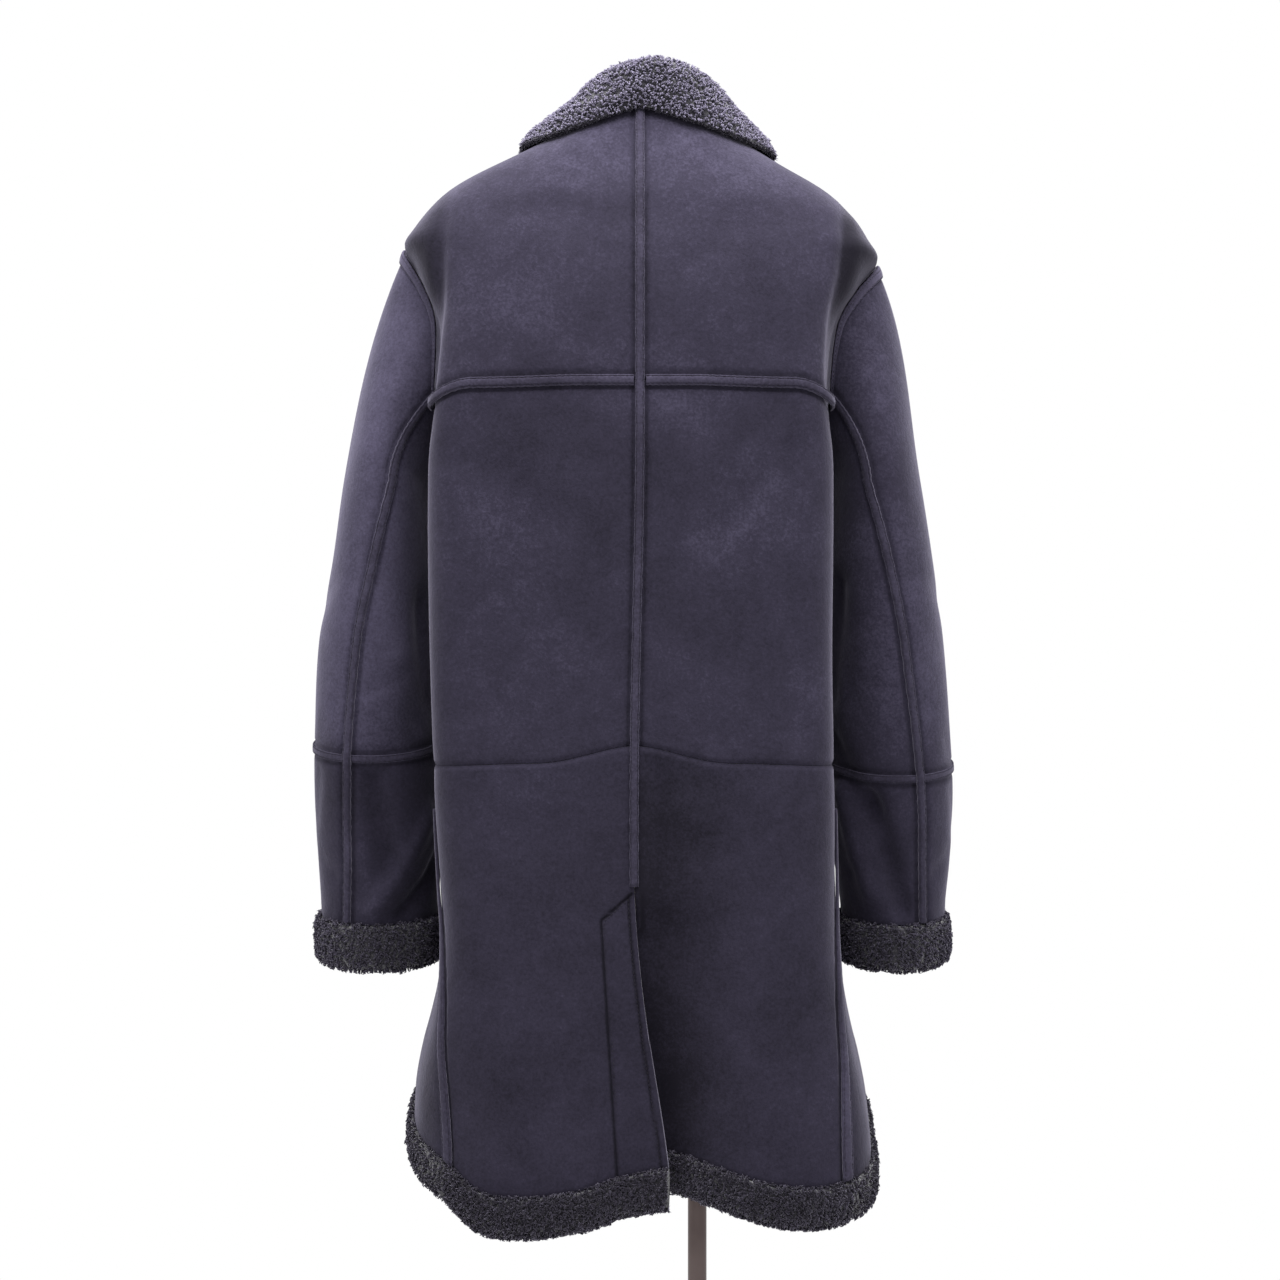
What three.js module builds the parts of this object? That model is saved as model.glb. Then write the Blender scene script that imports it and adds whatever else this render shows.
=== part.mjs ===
// A thigh-length shearling coat with its wool turned out at collar, cuffs and hem, worn by a limbless
// dress form on a round-plate stand. Millimetres, +Z up. The coat's back faces -Y, its front +Y.
// "left" is the side at -X, which is the wearer's left and the left of a view of the back.
import * as THREE from "three";

// Driving sizes
const SKIN = 8; // suede with its clipped wool, one wall
const SEAM_GAP = 0.3;
const HEM_Z = 500; // where the suede ends and the turned-out wool of the hem begins
const HEM_BAND = 35;
const CUFF_BAND = 43;
const BAND_PROUD = 6; // how far turned-out wool stands outside the suede
const BAND_DEEP = 12.5; // how far it reaches inside the suede's outer face
const WAIST_Z = { centre: 870, side: 852 }; // the seams across the back sag from its centre to its sides
const YOKE_Z = { centre: 1181, side: 1167 };
const VENT_Z = 748;
const NECK_Z = 1416;
const NECK_RISE = 12; // the neck seam is this much higher at the centre back than at the side
const ARMHOLE = { top: 1316, bottom: 1120, centreY: 5, halfWidth: 60 };
const HEAD_Z = 1100; // where the sleeve becomes a plain tube
const CUFF_Z = 708; // where the suede of the sleeve meets the wool cuff
const ELBOW_Z = { left: 864, right: 846 };
const STRIP_WIDTH = 9; // the lapped strips that cover the main seams
const STRIP_THICK = 2;
const ELBOW_STRIP = { width: 7, thick: 1.7 };
const BREAK_Z = 1195; // where the lapel starts to turn
const OVERLAP = 16; // degrees of ring by which each front passes the centre front
const UNDERLAP_IN = 9.5; // how far the lower layer of an overlap is set in
const UNDERLAP_HEM_IN = 22; // the same where the thick hem bands overlap
const COLLAR_THICK = 7.5;
const COLLAR_SHIFT = 2; // the collar sits this much to the right of the neck seam's middle
const LAPEL_THICK = 9;
const SUEDE = { color: 0x3d3a47, roughness: 0.95, metalness: 0 };
const WOOL = { color: 0x2f2b38, roughness: 1, metalness: 0 };

// One row for each level of the body's outer face. A level is a ring in plan: halfWidth to each side of a
// middle shifted by sway, back and front the depths from the Y axis, backSquare and frontSquare how boxy each
// half is, and sideSeam the seam's place in degrees from the centre back.
const BODY = [
  { z: 450, halfWidth: 206, back: 150, backSquare: 4.8, front: 150, frontSquare: 2.6, sway: 1, sideSeam: 54 },
  { z: 500, halfWidth: 203, back: 148, backSquare: 4.8, front: 149, frontSquare: 2.6, sway: 1, sideSeam: 54 },
  { z: 530, halfWidth: 201, back: 147, backSquare: 4.9, front: 148, frontSquare: 2.6, sway: 1, sideSeam: 54 },
  { z: 570, halfWidth: 194.5, back: 145, backSquare: 5, front: 146, frontSquare: 2.6, sway: 1, sideSeam: 55 },
  { z: 600, halfWidth: 188, back: 144, backSquare: 5.2, front: 145, frontSquare: 2.7, sway: 1, sideSeam: 56 },
  { z: 650, halfWidth: 179, back: 142, backSquare: 5.6, front: 143, frontSquare: 2.7, sway: 1, sideSeam: 57 },
  { z: 700, halfWidth: 173.5, back: 139, backSquare: 6, front: 140, frontSquare: 2.7, sway: 0, sideSeam: 60 },
  { z: 748, halfWidth: 173, back: 137, backSquare: 6.5, front: 137, frontSquare: 2.8, sway: -2, sideSeam: 63 },
  { z: 802, halfWidth: 174, back: 135, backSquare: 7, front: 133, frontSquare: 2.9, sway: -4, sideSeam: 67 },
  { z: 870, halfWidth: 175, back: 133, backSquare: 7.5, front: 130, frontSquare: 3, sway: -6, sideSeam: 71 },
  { z: 960, halfWidth: 176, back: 131, backSquare: 8, front: 129, frontSquare: 3, sway: -8, sideSeam: 77 },
  { z: 1120, halfWidth: 177, back: 131, backSquare: 8, front: 128, frontSquare: 3, sway: -8, sideSeam: 91.6 },
  { z: 1181, halfWidth: 175, back: 131, backSquare: 7.5, front: 122, frontSquare: 3, sway: -7, sideSeam: 91.6 },
  { z: 1243, halfWidth: 178, back: 129, backSquare: 6, front: 113, frontSquare: 2.9, sway: -3, sideSeam: 91.5 },
  { z: 1279, halfWidth: 193, back: 125, backSquare: 5, front: 105, frontSquare: 2.8, sway: -1, sideSeam: 91.4 },
  { z: 1301, halfWidth: 206, back: 121, backSquare: 4.4, front: 99, frontSquare: 2.7, sway: 0, sideSeam: 91.3 },
  { z: 1316, halfWidth: 214, back: 117, backSquare: 4.1, front: 95, frontSquare: 2.6, sway: 1, sideSeam: 91.2 },
  { z: 1331, halfWidth: 207, back: 113, backSquare: 3.8, front: 90, frontSquare: 2.5, sway: 1, sideSeam: 91 },
  { z: 1346, halfWidth: 196.5, back: 109, backSquare: 3.5, front: 84, frontSquare: 2.4, sway: 2, sideSeam: 90.6 },
  { z: 1363, halfWidth: 180, back: 102, backSquare: 3.1, front: 76, frontSquare: 2.3, sway: 3, sideSeam: 90.3 },
  { z: 1376, halfWidth: 163, back: 96, backSquare: 2.8, front: 68, frontSquare: 2.2, sway: 4, sideSeam: 90 },
  { z: 1390, halfWidth: 137, back: 89, backSquare: 2.4, front: 58, frontSquare: 2.2, sway: 5, sideSeam: 90 },
  { z: 1404, halfWidth: 106, back: 80.5, backSquare: 2.1, front: 43, frontSquare: 2.2, sway: 7, sideSeam: 90 },
  { z: 1416, halfWidth: 76, back: 72, backSquare: 2, front: 29, frontSquare: 2.1, sway: 9, sideSeam: 90 },
];
// How far the hem rises or dips round the ring, in degrees from the centre back.
const HEM_LIFT = {
  left: [
    { angle: -14, lift: 13 },
    { angle: 4, lift: 4 },
    { angle: 15, lift: -5 },
    { angle: 28, lift: -10.5 },
    { angle: 41, lift: -12 },
    { angle: 47, lift: -6 },
    { angle: 54, lift: 12 },
    { angle: 60, lift: 20 },
    { angle: 67, lift: 28 },
    { angle: 75, lift: 36 },
    { angle: 85, lift: 45 },
    { angle: 96, lift: 50 },
    { angle: 120, lift: 48 },
    { angle: 200, lift: 44 },
  ],
  right: [
    { angle: -10, lift: 24 },
    { angle: 13, lift: 20 },
    { angle: 24, lift: 13 },
    { angle: 35, lift: 2 },
    { angle: 42, lift: -3 },
    { angle: 48, lift: -4 },
    { angle: 56, lift: 0 },
    { angle: 62, lift: 4 },
    { angle: 68, lift: 9 },
    { angle: 75, lift: 17 },
    { angle: 84, lift: 30 },
    { angle: 96, lift: 43 },
    { angle: 120, lift: 47 },
    { angle: 200, lift: 44 },
  ],
};
// How much lower each shoulder lies than the plain levels, at its middle.
const SHOULDER_DROP = [
  { z: 1190, left: 0, right: 0 },
  { z: 1250, left: 0, right: 5 },
  { z: 1316, left: 5, right: 18 },
  { z: 1331, left: 7, right: 19 },
  { z: 1346, left: 7, right: 18 },
  { z: 1363, left: 6, right: 17 },
  { z: 1376, left: 6, right: 16 },
  { z: 1390, left: 5, right: 14 },
  { z: 1404, left: 3, right: 10 },
  { z: 1416, left: 1, right: 4 },
];
// Where the front edge turns back into the lapel, in degrees from the centre back.
const ROLL_LINE = [
  { z: 1195, angle: 196 },
  { z: 1215, angle: 182 },
  { z: 1251, angle: 166 },
  { z: 1305, angle: 153 },
  { z: 1346, angle: 143 },
  { z: 1376, angle: 132 },
  { z: 1390, angle: 122 },
  { z: 1404, angle: 110 },
  { z: 1416, angle: 98 },
];
// Each sleeve as a tube: its outer and inner edge from the middle of the coat, and its middle and half depth in Y.
const SLEEVE = {
  left: [
    { z: 650, outer: 293, inner: 185, centreY: 40, halfDepth: 56 },
    { z: 708, outer: 294, inner: 186, centreY: 35, halfDepth: 57 },
    { z: 760, outer: 296, inner: 184, centreY: 28, halfDepth: 58 },
    { z: 811, outer: 298, inner: 184, centreY: 21, halfDepth: 60 },
    { z: 870, outer: 297.5, inner: 187, centreY: 15, halfDepth: 63 },
    { z: 957, outer: 292, inner: 189, centreY: 10, halfDepth: 68 },
    { z: 1033, outer: 279, inner: 191, centreY: 7, halfDepth: 72 },
    { z: 1100, outer: 269, inner: 193, centreY: 6, halfDepth: 75 },
    { z: 1125, outer: 264, inner: 194, centreY: 5, halfDepth: 76 },
  ],
  right: [
    { z: 650, outer: 280, inner: 185, centreY: 40, halfDepth: 56 },
    { z: 708, outer: 281, inner: 186, centreY: 35, halfDepth: 57 },
    { z: 760, outer: 285, inner: 179, centreY: 28, halfDepth: 58 },
    { z: 811, outer: 287, inner: 175.5, centreY: 21, halfDepth: 60 },
    { z: 870, outer: 284, inner: 173, centreY: 15, halfDepth: 63 },
    { z: 957, outer: 276, inner: 171.5, centreY: 10, halfDepth: 68 },
    { z: 1033, outer: 266, inner: 172, centreY: 7, halfDepth: 72 },
    { z: 1100, outer: 255, inner: 173, centreY: 6, halfDepth: 75 },
    { z: 1125, outer: 250, inner: 173, centreY: 5, halfDepth: 76 },
  ],
};
// The sleeve's back seam, in degrees round the tube from its outer edge by way of the back.
const SLEEVE_SEAM = [
  { z: 650, angle: 62 },
  { z: 708, angle: 64 },
  { z: 760, angle: 67 },
  { z: 811, angle: 69 },
  { z: 870, angle: 72 },
  { z: 929, angle: 77 },
  { z: 972, angle: 81 },
  { z: 1010, angle: 87 },
  { z: 1058, angle: 97 },
  { z: 1100, angle: 109 },
];
const HEAD_SEAM = 114; // where that seam meets the armhole, in the same degrees
const FRONT_SEAM = 235; // the sleeve's front seam, hidden on the inner side
// Soft folds pressed into the sleeves, each along a line from one place on the tube to another.
const SLEEVE_FOLDS = [
  { side: "left", angle: 96, z: 838, toAngle: 104, toZ: 762, depth: 5, reach: 15 },
  { side: "left", angle: 150, z: 795, toAngle: 92, toZ: 722, depth: -2.5, reach: 10 },
  { side: "left", angle: 160, z: 752, toAngle: 118, toZ: 716, depth: 3, reach: 9 },
  { side: "left", angle: 150, z: 985, toAngle: 140, toZ: 890, depth: 3, reach: 14 },
  { side: "right", angle: 162, z: 868, toAngle: 118, toZ: 812, depth: 4, reach: 12 },
  { side: "right", angle: 118, z: 815, toAngle: 86, toZ: 722, depth: 5.5, reach: 11 },
  { side: "right", angle: 150, z: 820, toAngle: 122, toZ: 740, depth: -2.5, reach: 12 },
  { side: "right", angle: 150, z: 1010, toAngle: 135, toZ: 910, depth: 3, reach: 14 },
];
// The collar at stations from the centre back round to its front end. Stations 0 to 1 run along the neck
// seam to the end of the shoulder, 1 to 2 down the front's edge to COLLAR_END_Z.
const COLLAR_END_Z = 1346;
const COLLAR = [
  { station: 0, rise: 47, inset: 2, edgeAngle: 0, edgeZ: 1410 },
  { station: 0.36, rise: 42, inset: 6, edgeAngle: 36, edgeZ: 1401 },
  { station: 0.6, rise: 34, inset: 11, edgeAngle: 58, edgeZ: 1397 },
  { station: 0.8, rise: 30, inset: 15, edgeAngle: 77, edgeZ: 1400 },
  { station: 1, rise: 26, inset: 16, edgeAngle: 93, edgeZ: 1401 },
  { station: 1.25, rise: 25, inset: 12, edgeAngle: 102, edgeZ: 1390 },
  { station: 1.6, rise: 26, inset: 9, edgeAngle: 114, edgeZ: 1370 },
  { station: 2, rise: 26, inset: 8, edgeAngle: 127, edgeZ: 1342 },
];
// The lapel's width from the turn.
const LAPEL = [
  { z: 1236, width: 16 },
  { z: 1262, width: 36 },
  { z: 1300, width: 52 },
  { z: 1325, width: 60 },
  { z: 1337, width: 50 },
];
// The dress form below the coat's shoulders.
const FORM = [
  { z: 722, halfWidth: 118, back: 84, front: 80 },
  { z: 732, halfWidth: 140, back: 98, front: 92 },
  { z: 760, halfWidth: 150, back: 106, front: 98 },
  { z: 820, halfWidth: 154, back: 110, front: 102 },
  { z: 900, halfWidth: 147, back: 103, front: 100 },
  { z: 970, halfWidth: 138, back: 96, front: 98 },
  { z: 1050, halfWidth: 147, back: 100, front: 104 },
  { z: 1130, halfWidth: 157, back: 107, front: 108 },
  { z: 1210, halfWidth: 160, back: 110, front: 98 },
  { z: 1270, halfWidth: 168, back: 108, front: 88 },
  { z: 1310, halfWidth: 182, back: 102, front: 78 },
  { z: 1416, halfWidth: 66, back: 60, front: 18 },
];
const FORM_GAP = 0.9; // between the shoulders of the form and the coat
const NECK = { radius: 45, centreX: 9, centreY: -12, top: 1452, flareZ: 1406 };
const POLE = { x: 52, y: 0, radius: 8.5 };
const BASE = { radius: 150, thick: 8, socketRadius: 15, socketHeight: 42 };
const BUTTON = { radius: 12.5, thick: 4.5, rows: [1150, 1010, 870, 730] };

// Small tools
const rad = THREE.MathUtils.degToRad;
const deg = THREE.MathUtils.radToDeg;
const lerp = THREE.MathUtils.lerp;
const smooth = (from, to, x) => {
  const t = THREE.MathUtils.clamp((x - from) / (to - from), 0, 1);
  return t * t * (3 - 2 * t);
};
const bump = (x, middle, reach) => Math.exp(-(((x - middle) / reach) ** 2));
const steps = (from, to, count) => Array.from({ length: count + 1 }, (_, i) => lerp(from, to, i / count));

// A smooth curve through a table's rows: cubic between rows, with each row's slope taken from its neighbours.
function curve(table, key, value) {
  const xs = table.map((row) => row[key]);
  const ys = table.map((row) => row[value]);
  const slope = (i) => {
    const a = Math.max(i - 1, 0);
    const b = Math.min(i + 1, xs.length - 1);
    return (ys[b] - ys[a]) / (xs[b] - xs[a]);
  };
  return (x) => {
    const at = THREE.MathUtils.clamp(x, xs[0], xs[xs.length - 1]);
    let i = 0;
    while (i < xs.length - 2 && at > xs[i + 1]) i += 1;
    const h = xs[i + 1] - xs[i];
    const t = (at - xs[i]) / h;
    const t2 = t * t;
    const t3 = t2 * t;
    return (
      (2 * t3 - 3 * t2 + 1) * ys[i] +
      (t3 - 2 * t2 + t) * h * slope(i) +
      (3 * t2 - 2 * t3) * ys[i + 1] +
      (t3 - t2) * h * slope(i + 1)
    );
  };
}
const curves = (table, key) =>
  Object.fromEntries(Object.keys(table[0]).map((name) => [name, curve(table, key, name)]));

const body = curves(BODY, "z");
const shoulderDrop = curves(SHOULDER_DROP, "z");
const hemLift = { left: curve(HEM_LIFT.left, "angle", "lift"), right: curve(HEM_LIFT.right, "angle", "lift") };
const rollAngle = curve(ROLL_LINE, "z", "angle");
const sign = { left: -1, right: 1 };

// The vent: the left skirt's edge leans over the right. The right skirt's edge follows it down to VENT_MEET,
// sinking as it goes, and from there runs on underneath.
const VENT_MEET = 706;
const flapAngle = (z) => -12.8 * smooth(VENT_Z + 20, HEM_Z - 90, z);
const ventAngle = {
  left: flapAngle,
  right: (z) => lerp(-flapAngle(z), -9, smooth(VENT_MEET, VENT_MEET - 20, z)),
};

// How far the lower layer is set in: the right side under the vent's flap and under the left front.
function setIn(side, angle, z) {
  if (side === "left") return 0;
  const deep = lerp(UNDERLAP_HEM_IN, UNDERLAP_IN, smooth(510, 680, z));
  const vent = deep * smooth(32, 13, angle) * smooth(VENT_Z, VENT_MEET + 4, z);
  return vent + deep * smooth(145, 162, angle);
}

// The back's corners soften towards the hem on the left.
function squareness(side, atBack, z) {
  if (!atBack) return body.frontSquare(z);
  return body.backSquare(z) - (side === "left" ? 1.5 * smooth(680, 500, z) : 0);
}

// A point of the body's outer face: a superellipse in plan at each level, set in by under mm.
function bodyPoint(side, angle, z, under = setIn(side, angle, z)) {
  const a = rad(angle);
  const atBack = Math.cos(a) > 0;
  const n = squareness(side, atBack, z);
  const depth = atBack ? body.back(z) : body.front(z);
  const width = body.halfWidth(z);
  const reach = (Math.abs(Math.cos(a) / depth) ** n + Math.abs(Math.sin(a) / width) ** n) ** (-1 / n) - under;
  const back = Math.max(Math.cos(a), 0);
  const hollow = 14 * bump(angle, 0, 24) * smooth(VENT_Z, HEM_Z, z) * back;
  const valley = side === "right" ? 8 * bump(angle, 18, 11) * smooth(VENT_Z + 60, 560, z) : 0;
  const seamShift = (-5 * smooth(1150, 820, z) - body.sway(z)) * back ** 6;
  const lift = hemLift[side](angle) * smooth(760, HEM_Z, z) + NECK_RISE * back ** 2 * smooth(1372, NECK_Z, z);
  const drop = shoulderDrop[side](z) * bump(angle, 90, 40);
  return new THREE.Vector3(
    sign[side] * reach * Math.sin(a) + body.sway(z) + seamShift,
    -reach * Math.cos(a) + hollow + valley,
    z + lift - drop,
  );
}

// The outward normal of a surface given as point(u, v), from short steps both ways.
function normalOf(point, u, v, stepU, stepV, turn) {
  const along = point(u + stepU, v).sub(point(u - stepU, v));
  const up = point(u, v + stepV).sub(point(u, v - stepV));
  return along.cross(up).normalize().multiplyScalar(turn);
}
function bodyNormal(side, angle, z) {
  return normalOf((a, h) => bodyPoint(side, a, h), angle, Math.min(z, NECK_Z - 1), 1, 1, sign[side]);
}
function offBody(side, angle, z, distance) {
  return bodyPoint(side, angle, z).addScaledVector(bodyNormal(side, angle, z), distance);
}

// The ring angle at which the back or the front ends at a level: the armhole, or the side or shoulder seam.
function edgeAngle(atBack, z) {
  const middle = (ARMHOLE.top + ARMHOLE.bottom) / 2;
  const up = (z - middle) / (ARMHOLE.top - middle);
  if (Math.abs(up) >= 1) return body.sideSeam(z);
  const halfOpen = ARMHOLE.halfWidth * Math.sqrt(1 - up * up);
  return angleAtDepth(ARMHOLE.centreY + (atBack ? -halfOpen : halfOpen), z);
}
function angleAtDepth(y, z) {
  const n = squareness("right", y < 0, z);
  const depth = y < 0 ? body.back(z) : body.front(z);
  return deg(Math.atan2(body.halfWidth(z) * (1 - Math.abs(y / depth) ** n) ** (1 / n), -y));
}

// A named mesh from points and triangles, turned to face outwards by its signed volume.
function meshOf(name, points, faces, look) {
  let volume = 0;
  for (let i = 0; i < faces.length; i += 3) {
    const [a, b, c] = [points[faces[i]], points[faces[i + 1]], points[faces[i + 2]]];
    volume += a.dot(b.clone().cross(c));
  }
  if (volume < 0) faces.reverse();
  const geometry = new THREE.BufferGeometry().setFromPoints(points);
  geometry.setIndex(faces);
  geometry.computeVertexNormals();
  const mesh = new THREE.Mesh(geometry, new THREE.MeshStandardMaterial(look));
  mesh.name = name;
  return mesh;
}

// One closed wall from two grids of the same size, an outer and an inner face, and the rim between them.
function wall(name, outer, inner, look) {
  const rows = outer.length;
  const columns = outer[0].length;
  const points = [...outer.flat(), ...inner.flat()];
  const far = rows * columns;
  const faces = [];
  const quad = (a, b, c, d) => faces.push(a, b, c, a, c, d);
  for (let i = 0; i < rows - 1; i += 1) {
    for (let j = 0; j < columns - 1; j += 1) {
      const [a, b, c, d] = [i * columns + j, i * columns + j + 1, (i + 1) * columns + j + 1, (i + 1) * columns + j];
      quad(a, b, c, d);
      quad(far + d, far + c, far + b, far + a);
    }
    const [first, last] = [i * columns, i * columns + columns - 1];
    quad(first, first + columns, far + first + columns, far + first);
    quad(last, far + last, far + last + columns, last + columns);
  }
  for (let j = 0; j < columns - 1; j += 1) {
    const top = (rows - 1) * columns + j;
    quad(j, far + j, far + j + 1, j + 1);
    quad(top, top + 1, far + top + 1, far + top);
  }
  return meshOf(name, points, faces, look);
}

// A solid through a list of rings, each the same loop of points: shut at both ends, or joined into a loop.
function tube(name, rings, look, loop = false) {
  const count = rings[0].length;
  const points = rings.flat();
  const faces = [];
  const spans = loop ? rings.length : rings.length - 1;
  for (let i = 0; i < spans; i += 1) {
    const [near, next] = [i * count, ((i + 1) % rings.length) * count];
    for (let j = 0; j < count; j += 1) {
      const k = (j + 1) % count;
      faces.push(near + j, near + k, next + j, near + k, next + k, next + j);
    }
  }
  if (!loop) {
    for (const [at, flip] of [[0, true], [rings.length - 1, false]]) {
      const middle = rings[at].reduce((sum, p) => sum.add(p), new THREE.Vector3()).divideScalar(count);
      points.push(middle);
      for (let j = 0; j < count; j += 1) {
        const k = (j + 1) % count;
        const pair = flip ? [at * count + k, at * count + j] : [at * count + j, at * count + k];
        faces.push(points.length - 1, ...pair);
      }
    }
  }
  return meshOf(name, points, faces, look);
}

const coat = new THREE.Group();

// Body panels. Each is a wall over a patch of the body, in rows of levels and columns of angles. The columns
// of the back crowd round its corner where the ring is square, and are even where it is round.
const CORNER_COLUMNS = [0.08, 0.27, 0.54, 0.75, 0.88, 0.96, 1.03];
const SIDE_COLUMNS = [0.3, 0.65, 1];
const FRONT_COLUMNS = [0, 0.04, 0.1, 0.2, 0.31, 0.42, 0.53, 0.64, 0.74, 0.84, 0.92, 1];
function backColumns(z, from, to) {
  const corner = Math.min(deg(Math.atan2(body.halfWidth(z), body.back(z))), (to * 0.93) / 1.03);
  const crowded = [from, ...CORNER_COLUMNS.map((share) => corner * share)];
  const bend = crowded[crowded.length - 1];
  crowded.push(...SIDE_COLUMNS.map((share) => lerp(bend, to, share)));
  const square = smooth(2.4, 4.2, body.backSquare(z));
  return crowded.map((angle, i) => lerp(lerp(from, to, i / (crowded.length - 1)), angle, square));
}
const frontColumns = (z, from, to) => FRONT_COLUMNS.map((share) => lerp(from, to, share));
const halfGap = (z) => deg((SEAM_GAP / 2) / (0.8 * body.halfWidth(z)));

// The places of a panel's grid as [angle, z]. low and high give the seam's height at an angle, and heights
// the plain levels; from and to are its first and last angle at a level.
function places({ heights, low, high, from, to, columns }) {
  const [bottom, top] = [heights[0], heights[heights.length - 1]];
  return heights.map((height) => {
    const share = (height - bottom) / (top - bottom);
    const plain = columns(height, from(height), to(height));
    return plain.map((angle, i) => {
      const z = lerp(low(angle), high(angle), share);
      if (i === 0) return [from(z) + halfGap(z), z];
      if (i === plain.length - 1) return [to(z) - halfGap(z), z];
      return [angle, z];
    });
  });
}
const onBody = (side, grid, distance) => grid.map((row) => row.map(([angle, z]) => offBody(side, angle, z, distance)));
const panel = (name, side, spec) => {
  const grid = places(spec);
  return wall(name, onBody(side, grid, 0), onBody(side, grid, -SKIN), SUEDE);
};

const yokeSeam = (angle) =>
  lerp(YOKE_Z.centre, YOKE_Z.side, 0.15 * smooth(20, 46, angle) + 0.85 * smooth(47, 60, angle));
const waistSeam = (angle) =>
  lerp(WAIST_Z.centre, WAIST_Z.side, 0.83 * smooth(0, 33, angle) + 0.17 * smooth(33, 60, angle));
const backEdge = (z) => edgeAngle(true, z);
const frontEdge = (z) => edgeAngle(false, z);
// Levels of the grids, as they are at the sides.
const SKIRT_HEIGHTS = [HEM_Z, 529, 560, 596, 640, 677, 696, 711, 724.5, 736, 776, 814, WAIST_Z.side];
const MIDDLE_HEIGHTS = [WAIST_Z.side, 920, 990, 1050, 1095, 1120.2, 1124, 1133, 1148, YOKE_Z.side];
const YOKE_HEIGHTS = [
  YOKE_Z.side, 1188, 1210, 1232, 1252, 1270, 1286, 1300, 1310, 1315.5, 1331, 1346, 1363, 1376, 1390, 1404, NECK_Z,
];
const skirt = (side) => ({
  heights: SKIRT_HEIGHTS,
  low: () => HEM_Z + SEAM_GAP / 2,
  high: (angle) => waistSeam(Math.abs(angle)) - SEAM_GAP / 2,
  from: ventAngle[side],
  to: backEdge,
  columns: backColumns,
});
const middle = {
  heights: MIDDLE_HEIGHTS,
  low: (angle) => waistSeam(angle) + SEAM_GAP / 2,
  high: (angle) => yokeSeam(angle) - SEAM_GAP / 2,
  from: () => 0,
  to: backEdge,
  columns: backColumns,
};
const yoke = {
  heights: YOKE_HEIGHTS,
  low: (angle) => yokeSeam(angle) + SEAM_GAP / 2,
  high: () => NECK_Z,
  from: () => 0,
  to: backEdge,
  columns: backColumns,
};
const frontEnd = (z) => (z < BREAK_Z ? 180 + OVERLAP : rollAngle(z));
const front = {
  heights: [...SKIRT_HEIGHTS, ...MIDDLE_HEIGHTS.slice(1), ...YOKE_HEIGHTS.slice(1)],
  low: () => HEM_Z + SEAM_GAP / 2,
  high: () => NECK_Z,
  from: frontEdge,
  to: frontEnd,
  columns: frontColumns,
};
for (const side of ["left", "right"]) {
  coat.add(
    panel(`back_skirt_${side}`, side, skirt(side)),
    panel(`back_middle_${side}`, side, middle),
    panel(`back_yoke_${side}`, side, yoke),
    panel(`front_${side}`, side, front),
  );
}

// Wool hem bands: a rolled section carried along the lower edge of each panel.
const BAND_SECTION = [
  { out: 1, down: 0 },
  { out: 4.6, down: 0.1 },
  { out: BAND_PROUD, down: 0.42 },
  { out: 4.5, down: 0.82 },
  { out: -3, down: 1 },
  { out: -10, down: 0.92 },
  { out: -BAND_DEEP, down: 0.6 },
  { out: -BAND_DEEP, down: 0.2 },
  { out: -8, down: 0 },
];
function bandRing(foot, normal, height) {
  return BAND_SECTION.map(({ out, down }) => {
    const p = foot.clone().addScaledVector(normal, out);
    p.z -= down * height;
    return p;
  });
}
function hemBand(name, side, angles) {
  const rings = angles.map((angle) => {
    const foot = bodyPoint(side, angle, HEM_Z);
    foot.z -= SEAM_GAP / 2;
    return bandRing(foot, bodyNormal(side, angle, HEM_Z), HEM_BAND);
  });
  return tube(name, rings, WOOL);
}
for (const side of ["left", "right"]) {
  const anglesOf = (spec) => places(spec)[0].map(([angle]) => angle);
  coat.add(hemBand(`hem_wool_back_${side}`, side, anglesOf(skirt(side))));
  coat.add(hemBand(`hem_wool_front_${side}`, side, anglesOf(front)));
}

// Sleeves
const sleeve = { left: curves(SLEEVE.left, "z"), right: curves(SLEEVE.right, "z") };
const seamAngleAt = curve(SLEEVE_SEAM, "z", "angle");
const CUFF_TILT = 5; // the back of the cuff hangs this much lower than its front

// How far a sleeve's folds press in at a place.
function foldDepth(side, angle, z) {
  let depth = 0;
  for (const fold of SLEEVE_FOLDS) {
    if (fold.side !== side) continue;
    const perDegree = 1.05;
    const [du, dv] = [(fold.toAngle - fold.angle) * perDegree, fold.toZ - fold.z];
    const [pu, pv] = [(angle - fold.angle) * perDegree, z - fold.z];
    const t = THREE.MathUtils.clamp((pu * du + pv * dv) / (du * du + dv * dv), 0, 1);
    depth += fold.depth * bump(Math.hypot(pu - t * du, pv - t * dv), 0, fold.reach);
  }
  return depth;
}

// The plain tube: an ellipse at each level, round from its outer edge (0) by the back (90) to the inner edge.
function tubePoint(side, angle, z) {
  const s = sleeve[side];
  const a = rad(angle);
  const fold = foldDepth(side, ((angle % 360) + 360) % 360, z);
  const x = (s.outer(z) + s.inner(z)) / 2 + ((s.outer(z) - s.inner(z)) / 2 - fold) * Math.cos(a);
  return new THREE.Vector3(
    sign[side] * x,
    s.centreY(z) - (s.halfDepth(z) - fold) * Math.sin(a),
    z - CUFF_TILT * Math.sin(a) * smooth(860, CUFF_Z, z),
  );
}

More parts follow.
